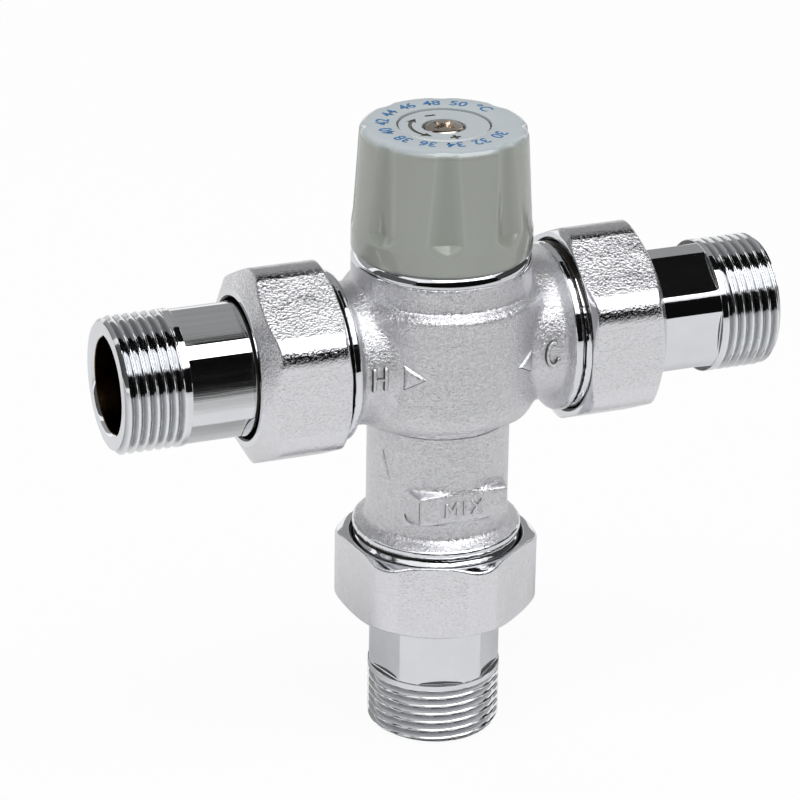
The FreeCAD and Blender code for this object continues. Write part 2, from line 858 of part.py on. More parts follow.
def shuttle():
    shell = turned([
        (shuttle_window_d / 2, shuttle_foot),
        (shuttle_r, shuttle_foot),
        (shuttle_r, shuttle_top),
        (shuttle_bore_r, shuttle_top),
        (shuttle_bore_r, shuttle_foot + shuttle_floor_t),
        (shuttle_window_d / 2, shuttle_foot + shuttle_floor_t),
    ])
    hub = rod(hub_d / 2, shuttle_foot, hub_top)
    half = hub_arm_w / 2
    for k in range(hub_arms):
        arm = block(0, shuttle_bore_r + shuttle_wall / 2, -half, half, shuttle_foot, hub_top)
        hub = hub.fuse(spun(arm, 45 + 360 / hub_arms * k))
    hub = hub.cut(rod(sensor_bulb_d / 2 + sensor_clear, shuttle_foot, hub_top))
    groove_r = shuttle_ring_middle() - shuttle_ring_section / 2
    half_w = shuttle_ring_section / 2 + fit_gap
    return shell.fuse(hub).cut(ring(shuttle_r + 1, groove_r, -half_w, half_w))


def shuttle_o_ring():
    return o_ring(shuttle_ring_middle(), shuttle_ring_section, 0)


def return_spring():
    return coil(return_spring_d, return_wire_d, spring_ledge, shuttle_foot, return_coils)


def lifted(shape, height):
    copy = shape.copy()
    copy.translate(vec(0, 0, height))
    return copy


def pieces():
    made = {
        "valve_body": valve_body(),
        "bonnet": bonnet(),
        "bonnet_o_ring": bonnet_o_ring(),
        "control_stem": control_stem(),
        "stem_o_rings": stem_o_rings(),
        "stem_circlip": stem_circlip(),
        "adjusting_knob": adjusting_knob(),
        "knob_screw": knob_screw(),
        "carriage": carriage(),
        "overtravel_spring": overtravel_spring(),
        "overtravel_plunger": overtravel_plunger(),
        "retaining_ring": retaining_ring(),
        "push_rod": push_rod(),
        "wax_sensor": wax_sensor(),
        "shuttle": shuttle(),
        "shuttle_o_ring": shuttle_o_ring(),
        "return_spring": return_spring(),
    }
    inlet_collar = inlet_face + gasket_t
    outlet_collar = outlet_face + gasket_t
    inlet_tail = lifted(tailpiece(inlet_tail_len, True), inlet_collar)
    outlet_tail = lifted(tailpiece(outlet_tail_len, False), outlet_collar)
    nut = union_nut()
    inlet_nut = lifted(nut, inlet_collar + tail_collar_t)
    outlet_nut = lifted(nut, outlet_collar + tail_collar_t)
    made["mix_tailpiece"] = to_mix(outlet_tail, mix_flats_turn)
    made["mix_union_nut"] = to_mix(outlet_nut, mix_nut_turn)
    made["mix_gasket"] = to_mix(lifted(gasket(), outlet_face))
    for side, placed, flats_turn in (("hot", to_hot, hot_flats_turn), ("cold", to_cold, cold_flats_turn)):
        made[side + "_tailpiece"] = placed(inlet_tail, flats_turn)
        made[side + "_union_nut"] = placed(inlet_nut, inlet_nut_turn)
        made[side + "_gasket"] = placed(lifted(gasket(), inlet_face))
        made[side + "_strainer"] = placed(strainer())
        made[side + "_check_housing"] = placed(lifted(check_housing(), inlet_collar))
        made[side + "_check_o_ring"] = placed(lifted(check_ring(), inlet_collar))
        made[side + "_check_poppet"] = placed(lifted(check_poppet(), inlet_collar))
        made[side + "_check_spring"] = placed(lifted(check_spring(), inlet_collar))
    return made


os.makedirs("parts", exist_ok=True)
stand = outlet_face + gasket_t + outlet_tail_len
for name, shape in pieces().items():
    lifted(shape, stand).exportStep("parts/" + name + ".step")
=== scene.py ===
import bpy
import bmesh
import json
from math import acos, asin, atan2, ceil, cos, degrees, hypot, pi, radians, sin, sqrt, tan
from mathutils import Matrix, Vector, noise


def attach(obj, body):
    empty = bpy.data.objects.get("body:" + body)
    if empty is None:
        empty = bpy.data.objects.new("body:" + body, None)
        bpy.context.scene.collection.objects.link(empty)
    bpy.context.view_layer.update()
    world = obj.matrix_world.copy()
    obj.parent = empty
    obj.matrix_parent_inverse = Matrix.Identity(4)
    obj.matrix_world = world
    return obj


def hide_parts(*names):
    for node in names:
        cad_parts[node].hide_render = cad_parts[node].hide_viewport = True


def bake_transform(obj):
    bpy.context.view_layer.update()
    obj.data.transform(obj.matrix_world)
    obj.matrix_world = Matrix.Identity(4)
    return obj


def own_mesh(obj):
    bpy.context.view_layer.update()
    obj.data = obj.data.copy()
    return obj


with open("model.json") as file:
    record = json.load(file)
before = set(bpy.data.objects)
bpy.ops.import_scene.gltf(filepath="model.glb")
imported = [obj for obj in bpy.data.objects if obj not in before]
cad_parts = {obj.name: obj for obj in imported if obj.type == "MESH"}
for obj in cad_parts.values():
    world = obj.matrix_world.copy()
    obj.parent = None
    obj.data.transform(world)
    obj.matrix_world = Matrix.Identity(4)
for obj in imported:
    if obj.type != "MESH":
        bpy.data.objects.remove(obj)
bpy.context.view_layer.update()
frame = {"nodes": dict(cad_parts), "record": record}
nodes = frame["nodes"]
mm = 0.001
valveHeight = 82.0  # inlet axis above the foot of the outlet tail, mm
print("frame loaded:", len(nodes), "nodes")


# shader helpers

class Wire:
    # an output socket; sums written with it add Math nodes
    def __init__(self, tree, socket):
        self.tree = tree
        self.socket = socket

    def math(self, operation, first, second):
        node = self.tree.nodes.new("ShaderNodeMath")
        node.operation = operation
        for slot, value in zip(node.inputs, (first, second)):
            if isinstance(value, Wire):
                self.tree.links.new(value.socket, slot)
            else:
                slot.default_value = value
        return Wire(self.tree, node.outputs[0])

    def __add__(self, other):
        return self.math("ADD", self, other)

    def __radd__(self, other):
        return self.math("ADD", other, self)

    def __sub__(self, other):
        return self.math("SUBTRACT", self, other)

    def __rsub__(self, other):
        return self.math("SUBTRACT", other, self)

    def __mul__(self, other):
        return self.math("MULTIPLY", self, other)

    def __rmul__(self, other):
        return self.math("MULTIPLY", other, self)


class Finish:
    # one material or world, built node by node
    def __init__(self, owner):
        self.owner = owner
        owner.use_nodes = True
        self.tree = owner.node_tree
        self.tree.nodes.clear()

    def node(self, kind, settings=None, values=None, out=0):
        made = self.tree.nodes.new("ShaderNode" + kind)
        for key, value in (settings or {}).items():
            if key == "stops":
                ramp = made.color_ramp
                while len(ramp.elements) < len(value):
                    ramp.elements.new(0.5)
                for element, (spot, tone) in zip(ramp.elements, value):
                    element.position = spot
                    element.color = (tone, tone, tone, 1) if isinstance(tone, float) else (*tone, 1)
            else:
                setattr(made, key, value)
        for key, value in (values or {}).items():
            if isinstance(value, Wire):
                self.tree.links.new(value.socket, made.inputs[key])
            else:
                made.inputs[key].default_value = value
        return Wire(self.tree, made.outputs[out]) if made.outputs else None

    def worked(self, operation, first, second=0.0):
        return self.node("Math", {"operation": operation}, {0: first, 1: second})

    def place(self):
        return self.node("TexCoord", out="Object")

    def drawn(self, vector, axis, along, across):
        # stretched along one axis against the other two
        stretch = [across, across, across]
        stretch[axis] = along
        return self.node("VectorMath", {"operation": "MULTIPLY"}, {0: vector, 1: stretch})

    def clouds(self, vector, scale, detail=2.0, roughness=0.5, distortion=0.0):
        return self.node("TexNoise", None, {"Vector": vector, "Scale": scale, "Detail": detail,
                                            "Roughness": roughness, "Distortion": distortion})

    def cells(self, vector, scale, smooth):
        return self.node("TexVoronoi", {"feature": "SMOOTH_F1"},
                         {"Vector": vector, "Scale": scale, "Smoothness": smooth})

    def ramp(self, value, stops):
        return self.node("ValToRGB", {"stops": stops}, {"Fac": value})

    def blend(self, share, first, second):
        return self.node("Mix", {"data_type": "RGBA"}, {0: share, 6: first, 7: second}, out=2)

    def bump(self, height, depth, under=None):
        values = {"Height": height, "Distance": depth * mm, "Strength": 1.0}
        if under:
            values["Normal"] = under
        return self.node("Bump", None, values)

    def surface(self, values):
        shader = self.node("BsdfPrincipled", None, values)
        self.node("OutputMaterial", None, {"Surface": shader})
        return self.owner


def finish(name):
    return Finish(bpy.data.materials.new(name))


def shade(r, g, b):
    return (r, g, b, 1.0)


# metal finishes

def grainedChrome(name, look):
    # plating over a blasted forging: pebbles whose hollows are darkened as painted shade, softer swells, a
    # few rubbed spots
    paint = finish(name)
    at = paint.place()
    pebble = paint.cells(at, look["pebbleScale"], look["pebbleSmooth"])
    grit = paint.clouds(at, look["gritScale"], 2.0, 0.6, look["worm"])
    swell = paint.clouds(at, look["swellScale"], 2.0, 0.5)
    patch = paint.clouds(at, look["patchScale"], 3.0, 0.55)
    height = pebble * look["pebbleShare"] + grit * (1 - look["pebbleShare"])
    # base colour darker in the pebbles' hollows: painted shade in the pits, laid over the grain
    hollow = paint.ramp(height, look["hollow"])
    under = paint.bump(swell, look["swellDepth"])
    uneven = (grit - 0.5) * look["roughSpread"] + (patch - 0.5) * look["patchSpread"]
    return paint.surface({
        "Base Color": paint.blend(hollow, shade(*look["dark"]), shade(*look["light"])),
        "Metallic": 1.0,
        "Roughness": look["roughness"] + uneven,
        "Normal": paint.bump(height, look["grainDepth"], under),
    })


# hollow: the heights over which the pebbles' hollows are darkened, a painted shade
grainLook = {"pebbleSmooth": 0.6, "patchScale": 55.0, "patchSpread": 0.06,
             "hollow": [(0.3, 0.0), (0.62, 1.0)]}

castLook = {**grainLook, "pebbleScale": 1900.0, "gritScale": 1750.0, "worm": 1.3, "swellScale": 230.0,
            "pebbleShare": 0.2, "grainDepth": 0.25, "swellDepth": 0.17, "roughness": 0.3, "roughSpread": 0.12,
            "dark": (0.66, 0.66, 0.68), "light": (0.83, 0.83, 0.86)}
castChrome = grainedChrome("cast chrome", castLook)

# near-black chrome for stroke flanks, plate edges, the tail ledges and dark crease lines: painted shade
creaseShadeLook = {**castLook, "dark": (0.08, 0.08, 0.08), "light": (0.18, 0.18, 0.18), "roughness": 0.36}
creaseShadeChrome = grainedChrome("crease shade chrome", creaseShadeLook)

nutLook = {**grainLook, "pebbleScale": 2000.0, "gritScale": 1950.0, "worm": 1.6, "swellScale": 190.0,
           "pebbleShare": 0.4, "grainDepth": 0.13, "swellDepth": 0.16, "roughness": 0.24, "roughSpread": 0.1,
           "dark": (0.76, 0.76, 0.79), "light": (0.86, 0.86, 0.89)}
nutChrome = grainedChrome("nut chrome", nutLook)

wornLook = {**nutLook, "grainDepth": 0.09, "swellDepth": 0.1, "roughness": 0.14}
wornChrome = grainedChrome("worn nut chrome", wornLook)


polishLook = {"hazeScale": 130.0, "hazeRough": 0.02, "rippleScale": 95.0, "rippleDepth": 0.05,
              "speckScale": 2600.0, "speckDepth": 0.002,
              "tint": [(0.3, (0.80, 0.81, 0.84)), (0.7, (0.86, 0.87, 0.90))]}


def polishedChrome(name, roughness):
    look = polishLook
    paint = finish(name)
    at = paint.place()
    haze = paint.clouds(at, look["hazeScale"], 4.0, 0.6)
    ripple = paint.clouds(at, look["rippleScale"], 1.0, 0.4)
    specks = paint.clouds(at, look["speckScale"], 2.0, 0.5)
    under = paint.bump(ripple, look["rippleDepth"])
    return paint.surface({
        "Base Color": paint.ramp(haze, look["tint"]),
        "Metallic": 1.0,
        "Roughness": roughness + haze * look["hazeRough"],
        "Normal": paint.bump(specks, look["speckDepth"], under),
    })


milledLook = {"across": 900.0, "along": 14.0, "depth": 0.012, "roughness": 0.02, "lineRough": 0.1,
              "hazeScale": 110.0, "hazeRough": 0.05,
              "tint": [(0.3, (0.72, 0.73, 0.74)), (0.7, (0.86, 0.87, 0.88))]}


def milledChrome(name, axis):
    # wrench flats: cutter lines drawn along the tail under the plating
    look = milledLook
    paint = finish(name)
    at = paint.place()
    lines = paint.clouds(paint.drawn(at, axis, look["along"], look["across"]), 1.0, 3.0, 0.65)
    haze = paint.clouds(at, look["hazeScale"], 3.0, 0.6)
    return paint.surface({
        "Base Color": paint.ramp(lines, look["tint"]),
        "Metallic": 1.0,
        "Roughness": look["roughness"] + lines * look["lineRough"] + haze * look["hazeRough"],
        "Normal": paint.bump(lines, look["depth"]),
    })


threadLook = {"rootR": 12.05, "rise": 1.17, "depth": 0.04, "roughness": 0.05,
              "hazeScale": 130.0, "hazeRough": 0.06,
              "tint": [(0.0, (0.42, 0.43, 0.45)), (0.55, (0.72, 0.73, 0.75)), (0.95, (0.90, 0.91, 0.92))]}


def threadedChrome(name, axis):
    # a tail's thread: base colour darker towards the roots as painted shade, lighter on the crests
    look = threadLook
    paint = finish(name)
    at = paint.place()
    middle = (0, 0, valveHeight * mm)
    off = paint.node("VectorMath", {"operation": "SUBTRACT"}, {0: at, 1: middle})
    off = paint.drawn(off, axis, 0.0, 1.0)
    reach = paint.node("VectorMath", {"operation": "LENGTH"}, {0: off}, out="Value")
    # rise: 0 at a root, 1 at a crest; the tint darkens the roots as painted shade
    rise = (reach - look["rootR"] * mm) * (1 / (look["rise"] * mm))
    haze = paint.clouds(at, look["hazeScale"], 4.0, 0.6)
    return paint.surface({
        "Base Color": paint.ramp(rise, look["tint"]),
        "Metallic": 1.0,
        "Roughness": look["roughness"] + haze * look["hazeRough"],
        "Normal": paint.bump(haze, look["depth"]),
    })


turnedLook = {"across": 40.0, "along": 3600.0, "depth": 0.02, "lineRough": 0.1, "stainScale": 160.0,
              "stainRough": 0.2, "stainFrom": 0.28, "stainTo": 0.72}


def turnedMetal(name, dark, light, roughness, axis):
    # lathe lines round an axis, with stain in patches
    look = turnedLook
    paint = finish(name)
    at = paint.place()
    lines = paint.clouds(paint.drawn(at, axis, look["along"], look["across"]), 1.0, 2.0, 0.6)
    stain = paint.clouds(at, look["stainScale"], 4.0, 0.6)
    return paint.surface({
        "Base Color": paint.ramp(stain, [(look["stainFrom"], dark), (look["stainTo"], light)]),
        "Metallic": 1.0,
        "Roughness": roughness + (stain - 0.5) * look["stainRough"] + (lines - 0.5) * look["lineRough"],
        "Normal": paint.bump(lines, look["depth"]),
    })


mirrorChrome = polishedChrome("polished chrome", 0.03)
turnedChrome = polishedChrome("turned chrome", 0.06)
threadAcross = threadedChrome("thread chrome with painted root shade across", 0)
threadUpright = threadedChrome("thread chrome with painted root shade upright", 2)
milledAcross = milledChrome("milled chrome across", 0)
# brass bores, darkened far below brass's own colour: brass with painted shade inside the bore
shadedBoreBrassX = turnedMetal("bore brass with painted shade across", (0.03, 0.018, 0.01), (0.26, 0.16, 0.06), 0.2, 0)
shadedBoreBrassZ = turnedMetal("bore brass with painted shade upright", (0.03, 0.018, 0.01), (0.26, 0.16, 0.06), 0.2, 2)
# near-black metal in the nuts' bores and on the port threads: painted shade in the gap between nut and body
gapShadeMetal = turnedMetal("gap shade metal", (0.015, 0.014, 0.012), (0.06, 0.052, 0.045), 0.3, 0)
turnedBrass = turnedMetal("turned brass", (0.55, 0.40, 0.18), (0.78, 0.62, 0.34), 0.26, 2)
sensorCopper = turnedMetal("sensor copper", (0.60, 0.30, 0.18), (0.82, 0.52, 0.36), 0.28, 2)
platedSteel = turnedMetal("plated steel", (0.42, 0.36, 0.31), (0.76, 0.67, 0.59), 0.2, 2)
springSteel = turnedMetal("spring steel", (0.36, 0.36, 0.37), (0.58, 0.58, 0.59), 0.3, 2)
strainerSteel = turnedMetal("strainer steel", (0.46, 0.46, 0.47), (0.66, 0.66, 0.67), 0.3, 0)


# plastics and seals

plasticLook = {"flowScale": 140.0, "peelScale": 1600.0, "depth": 0.015, "roughSpread": 0.2}


def mouldedPlastic(name, dark, light, roughness):
    look = plasticLook
    paint = finish(name)
    at = paint.place()
    flow = paint.clouds(at, look["flowScale"], 3.0, 0.55)
    peel = paint.clouds(at, look["peelScale"], 2.0, 0.5)
    return paint.surface({
        "Base Color": paint.ramp(flow, [(0.3, dark), (0.7, light)]),
        "Roughness": roughness + (peel - 0.5) * look["roughSpread"],
        "Normal": paint.bump(peel, look["depth"]),
    })


inkLook = {"scale": 1400.0, "roughness": 0.42, "roughSpread": 0.2,
           "tint": [(0.3, (0.022, 0.13, 0.32)), (0.7, (0.045, 0.19, 0.40))]}


def printedInk():
    # pad print: slightly uneven cover, dull against the plastic
    paint = finish("blue print")
    cover = paint.clouds(paint.place(), inkLook["scale"], 3.0, 0.6)
    return paint.surface({
        "Base Color": paint.ramp(cover, inkLook["tint"]),
        "Roughness": inkLook["roughness"] + (cover - 0.5) * inkLook["roughSpread"],
    })


# near-black plastic in the dial's cut marks and its edge groove: painted shade
grooveShadePlastic = mouldedPlastic("groove shade plastic", (0.10, 0.10, 0.09), (0.16, 0.16, 0.14), 0.5)
bluePrint = printedInk()
sealRubber = mouldedPlastic("seal rubber", (0.018, 0.018, 0.018), (0.04, 0.04, 0.04), 0.6)
fibreGasket = mouldedPlastic("fibre gasket", (0.06, 0.13, 0.08), (0.12, 0.22, 0.14), 0.75)
valvePlastic = mouldedPlastic("valve plastic", (0.72, 0.72, 0.68), (0.82, 0.82, 0.79), 0.42)
print("finishes:", len(bpy.data.materials))


# mesh helpers

def portPoint(port, r, turn, u):
    # mm about a port's axis, u outward from the valve centre; turn 0 faces the front
    front, side = -r * cos(turn), r * sin(turn)
    if port == "mix":
        return Vector((side, front, valveHeight - u)) * mm
    return Vector((-u if port == "hot" else u, front, valveHeight + side)) * mm


def topPoint(r, turn, z):
    # about the knob axis, z from the valve centre
    return Vector((r * sin(turn), -r * cos(turn), valveHeight + z)) * mm


def rounded(path, steps):
    # (r, u, size of the round) corners; the ends stay as they are, and no round takes half a side
    most = 0.47
    line = []
    for i, (r, u, size) in enumerate(path):
        here = Vector((r, u))
        if size == 0 or i in (0, len(path) - 1):
            line.append((r, u))
            continue
        back = Vector(path[i - 1][:2]) - here
        ahead = Vector(path[i + 1][:2]) - here
        start = here + back * min(size / max(back.length, 1e-6), most)
        end = here + ahead * min(size / max(ahead.length, 1e-6), most)
        for k in range(steps + 1):
            t = k / steps
            spot = start * (1 - t) ** 2 + here * (2 * t * (1 - t)) + end * t ** 2
            line.append((spot.x, spot.y))
    return line


def newPiece(name, bm, materials, sharp):
    bmesh.ops.recalc_face_normals(bm, faces=bm.faces)
    mesh = bpy.data.meshes.new(name)
    bm.to_mesh(mesh)
    bm.free()
    mesh.shade_smooth()
    if sharp:
        mesh.set_sharp_from_angle(angle=radians(sharp))
    for material in materials:
        mesh.materials.append(material)
    piece = bpy.data.objects.new(name, mesh)
    bpy.context.scene.collection.objects.link(piece)
    return piece


def skin(rings, closed=True, paint=None):
    # quads between rings of points that run round an axis; paint picks a finish by row and column
    bm = bmesh.new()
    rows = [[bm.verts.new(p) for p in ring] for ring in rings]
    count = len(rings[0])
    for i in range(len(rows) if closed else len(rows) - 1):
        low, high = rows[i], rows[(i + 1) % len(rows)]
        for j in range(count):
            k = (j + 1) % count
            face = bm.faces.new((low[j], low[k], high[k], high[j]))
            if paint:
                face.material_index = paint(i, j)
    return bm


def sixTurns(edge, step):
    # angles round a hexagon, closer at the ends of its flats
    count = ceil(60 / step)
    sector = [-30 + 60 * k / count for k in range(count)]
    sector += [s * edge + d for s in (-1, 1) for d in (-0.25, 0.25)]
    return [radians(60 * k + a) for k in range(6) for a in sorted(sector)]


def bentTurn(turn):
    # angle from the middle of the nearest flat
    return (turn + pi / 6) % (pi / 3) - pi / 6


def eased(share):
    # 0 to 1 with a soft start and end
    share = min(1.0, max(0.0, share))
    return share * share * (3 - 2 * share)


def settle(piece, body, slot, *replaced):
    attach(piece, body)
    if replaced:
        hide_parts(*replaced)
    return piece


def applied(piece):
    # a mesh with its modifiers worked in
    bpy.context.view_layer.update()
    view = piece.evaluated_get(bpy.context.evaluated_depsgraph_get())
    mesh = bpy.data.meshes.new_from_object(view)
    piece.modifiers.clear()
    old = piece.data
    piece.data = mesh
    bpy.data.meshes.remove(old)
    return piece


def cutBy(piece, tool):
    change = piece.modifiers.new("cut", "BOOLEAN")
    change.operation = "DIFFERENCE"
    change.solver = "EXACT"
    change.object = tool
    applied(piece)
    bpy.data.objects.remove(tool)
    return piece


# threads

def threadShape(phase):
    # 0 at a crest, 1 at a root: straight flanks, both ends rounded
    rise = abs(2 * (phase % 1.0) - 1)
    depth = 1.25 - 1.5 * rise
    for end, way in ((0.0, -1), (1.0, 1)):
        past = way * (depth - end) + 0.25
        if past > 0:
            depth -= way * past * past
    return min(1.0, max(0.0, depth))


# tails

tail = {"pipeR": 13.22, "shankR": 13.0, "collarR": 15.0, "collarLen": 3.5, "edge": 0.3, "flatsR": 12.1,
        "flatsLen": 12.5, "ledgeRound": 0.15, "ringLen": 1.0, "threadLen": 12.0, "pitch": 1.814,
        "threadDepth": 1.16, "threadRows": 20, "runOut": 0.7, "tipChamfer": 0.95, "mouthChamfer": 0.6,
        "soft": 0.06, "ringEdge": 0.1, "hair": 0.02, "flatRows": 4, "boreR": 9.3, "wellR": 10.55,
        "wellLen": 15.1, "step": 2.5, "sharp": 19.0,
        "crown": {"hot": 0.0078, "cold": 0.0, "mix": 0.002},
        "length": {"hot": 33.5, "cold": 33.5, "mix": 32.1}, "foot": {"hot": 34.0, "cold": 34.0, "mix": 49.9},
        "turn": {"hot": 12.5, "cold": -5.5, "mix": -14.7}}


def flatReach(port, bend):
    # a wrench flat, crowned a little by the polishing
    return tail["flatsR"] / cos(bend) - tail["crown"][port] * (tail["flatsR"] * tan(bend)) ** 2


def tailLine(port, turn):
    t = tail
    full = t["length"][port]
    threadFoot = full - t["threadLen"]
    ringFoot = threadFoot - t["ringLen"]
    flatsFoot = ringFoot - t["flatsLen"]
    flat = min(t["shankR"], flatReach(port, bentTurn(turn - radians(t["turn"][port]))))
    lean, edge, ringEdge, hair = t["ledgeRound"], t["edge"], t["ringEdge"], t["hair"]
    line = [(t["collarR"] - edge, 0.0), (t["collarR"], edge), (t["collarR"], t["collarLen"] - edge),
            (t["collarR"] - edge, t["collarLen"]), (t["shankR"] + edge, t["collarLen"]),
            (t["shankR"], t["collarLen"] + edge), (t["shankR"], flatsFoot - hair), (flat, flatsFoot)]
    flatRows = t["flatRows"]
    flats = range(len(line) - 1, len(line) + flatRows - 1)
    line += [(flat, flatsFoot + (t["flatsLen"] - lean) * k / flatRows) for k in range(1, flatRows + 1)]
    ledge = range(len(line) + 1, len(line) + 3)
    line += [(min(flat + 0.3 * lean, t["shankR"]), ringFoot - 0.3 * lean),
             (min(flat + lean, t["shankR"] + hair), ringFoot),
             (min(flat + lean, t["shankR"]) + ringEdge / 2, ringFoot),
             (t["pipeR"] - 1.3 * ringEdge, ringFoot), (t["pipeR"] - ringEdge, ringFoot),
             (t["pipeR"] - 0.3 * ringEdge, ringFoot + 0.3 * ringEdge),
             (t["pipeR"], ringFoot + ringEdge), (t["pipeR"], threadFoot - ringEdge / 2)]
    hand = 1 if port == "hot" else -1
    rows = ceil(t["threadLen"] / t["pitch"] * t["threadRows"])
    thread = range(len(line), len(line) + rows)
    for k in range(rows + 1):
        u = threadFoot + (t["threadLen"] - hair) * k / rows
        cut = t["threadDepth"] * threadShape(u / t["pitch"] - hand * turn / (2 * pi))
        cut *= eased((u - threadFoot) / t["runOut"])
        line.append((min(t["pipeR"] - cut, t["pipeR"] - t["tipChamfer"] + (full - u)), u))
    tipR = min(line[-1][0], t["pipeR"] - t["tipChamfer"])
    mouthR, mouthFoot, soft = t["boreR"] + t["mouthChamfer"], full - t["mouthChamfer"], t["soft"]
    line += [(tipR - 2 * soft, full), (mouthR + 2 * soft, full), (mouthR, full - soft),
             (t["boreR"] + 0.1, mouthFoot + soft), (t["boreR"], mouthFoot - soft)]
    bore = range(len(line) - 2, len(line) + 4)
    if port == "mix":
        line += [(t["boreR"], full * k / 4) for k in (3, 2, 1, 0)]
    else:
        line += [(t["boreR"], full * 0.7), (t["boreR"], t["wellLen"]), (t["wellR"], t["wellLen"]),
                 (t["wellR"], 0.0)]
    return line, flats, ledge, thread, bore


def makeTail(port):
    edge = acos(tail["flatsR"] / tail["shankR"])
    while flatReach(port, edge) < tail["shankR"]:
        edge += 0.001
    base = radians(tail["turn"][port])
    turns = [a + base for a in sixTurns(degrees(edge), tail["step"])]
    lines = [tailLine(port, a) for a in turns]
    flats, ledge, thread, bore = lines[0][1:]
    rings = []
    for i in range(len(lines[0][0])):
        spots = [line[0][i] for line in lines]
        rings.append([portPoint(port, r, a, tail["foot"][port] + u) for a, (r, u) in zip(turns, spots)])

    def paint(i, j):
        # bore rows take the bore brass, darkened as painted shade inside the tail
        if i in bore:
            return 1
        if i in thread:
            return 3
        if abs(bentTurn(turns[j] + radians(0.5) - base)) > edge:  # half a degree into the face
            return 0
        # the ledge under the ring takes the crease shade chrome: painted shade between the flats and the ring
        return 4 if i in ledge else 2 if i in flats else 0

    flatChrome = {"hot": milledAcross, "cold": mirrorChrome, "mix": turnedChrome}[port]
    finishes = [mirrorChrome, shadedBoreBrassX, flatChrome, threadAcross, creaseShadeChrome]
    if port == "mix":
        finishes = [mirrorChrome, shadedBoreBrassZ, flatChrome, threadUpright, creaseShadeChrome]
    piece = newPiece(port + "TailDressed", skin(rings, True, paint), finishes, tail["sharp"])
    return settle(piece, port + "_union", "polished_chrome", port + "_tailpiece")


for port in ("hot", "cold", "mix"):
    made = makeTail(port)
    print("tail:", port, len(made.data.polygons), "faces")


# union nuts

nut = {"flatR": 18.25, "cornerR": 6.5, "len": 17.0, "shoulder": 4.1, "cone": 30.0, "lip": 0.9, "mouth": 0.65,
       "boreR": 16.775, "holeR": 13.72, "holeChamfer": 0.4, "edgeRound": 0.45, "rimRound": 0.25,
       "seat": {"hot": 37.5, "cold": 37.5, "mix": 53.4}, "turn": {"hot": -2.5, "cold": -2.5, "mix": -22.5},
       "dents": 0.06, "dentScale": 0.22, "dentFrom": 0.4, "slack": 0.1, "step": 2.4, "rounds": 5,
       "sharp": 40.0}


def nutFlatEdge():
    # angle from the middle of a flat to where its corner's round starts
    return atan2((nut["flatR"] - nut["cornerR"]) * tan(pi / 6), nut["flatR"])


def nutReach(turn):
    # radius of a hexagon with rounded corners
    bend = abs(bentTurn(turn))
    if bend < nutFlatEdge():
        return nut["flatR"] / cos(bend)
    middle = (nut["flatR"] - nut["cornerR"]) / cos(pi / 6)
    swing = pi / 6 - bend
    return middle * cos(swing) + sqrt(nut["cornerR"] ** 2 - (middle * sin(swing)) ** 2)


def nutLine(turn):
    n = nut
    top = n["shoulder"]
    foot = top - n["len"]
    slope = tan(radians(n["cone"]))
    mouthR = n["boreR"] + n["mouth"]
    side = nutReach(turn)
    rimR = min(mouthR + n["lip"], side - 0.25)
    lipR = n["holeR"] + n["holeChamfer"] + n["lip"]
    return rounded([
        (n["boreR"], foot + n["mouth"] + 0.2, 0),
        (n["boreR"], foot + n["mouth"], 0.1),
        (mouthR, foot, 0.18),
        (rimR, foot, n["rimRound"]),
        (side, foot + max(0.2, (side - rimR) * slope), n["edgeRound"]),
        (side, top - (side - lipR) * slope, n["edgeRound"]),
        (lipR, top, n["rimRound"]),
        (n["holeR"] + n["holeChamfer"], top, 0.15),
        (n["holeR"], top - n["holeChamfer"], 0.1),
        (n["holeR"], 0, 0.15),
        (n["boreR"], 0, 0.15),
        (n["boreR"], -1.0, 0),
    ], n["rounds"])


def makeNut(port):
    edge = nutFlatEdge()
    base = radians(nut["turn"][port])
    turns = [a + base for a in sixTurns(degrees(edge), nut["step"])]
    lines = [nutLine(a - base) for a in turns]
    rings = []
    for i in range(len(lines[0])):
        ring = []
        for a, line in zip(turns, lines):
            r, u = line[i]
            spot = portPoint(port, r, a, nut["seat"][port] + u)
            if r > nut["boreR"] + nut["dentFrom"]:  # a forging's small hollows
                r += nut["dents"] * noise.noise(spot / mm * nut["dentScale"])
                spot = portPoint(port, r, a, nut["seat"][port] + u)
            ring.append(spot)
        rings.append(ring)
    # rows by the line through the middle of a flat: from the mouth's rim over the flat to the hole's lip
    middle = nutLine(0)
    slack = nut["slack"]
    flatFrom = nut["flatR"] - 1.2 * slack
    first = min(i for i, (r, u) in enumerate(middle) if r > nut["boreR"] + nut["mouth"] - slack)
    last = max(i for i, (r, u) in enumerate(middle) if u > nut["shoulder"] - slack / 2)
    coneFrom = nut["holeR"] + nut["holeChamfer"] + nut["lip"] + 2 * slack

    def paint(i, j):
        inside = min(middle[i][0], middle[(i + 1) % len(middle)][0])
        # the bore rows take the gap shade metal: painted shade inside the nut
        if inside < nut["boreR"] + slack and not first <= i < last:
            return 3
        if inside < flatFrom:
            return 0 if inside > coneFrom and middle[i][1] > 0 else 1
        return 2 if abs(bentTurn(turns[j] + radians(0.3) - base)) > edge else 0

    finishes = [nutChrome, turnedChrome, wornChrome, gapShadeMetal]
    piece = newPiece(port + "NutDressed", skin(rings, True, paint), finishes, nut["sharp"])
    return settle(piece, port + "_nut", "nut_chrome", port + "_union_nut")


for port in ("hot", "cold", "mix"):
    made = makeNut(port)
    print("nut:", port, len(made.data.polygons), "faces")


# body: the casting with its union threads cut

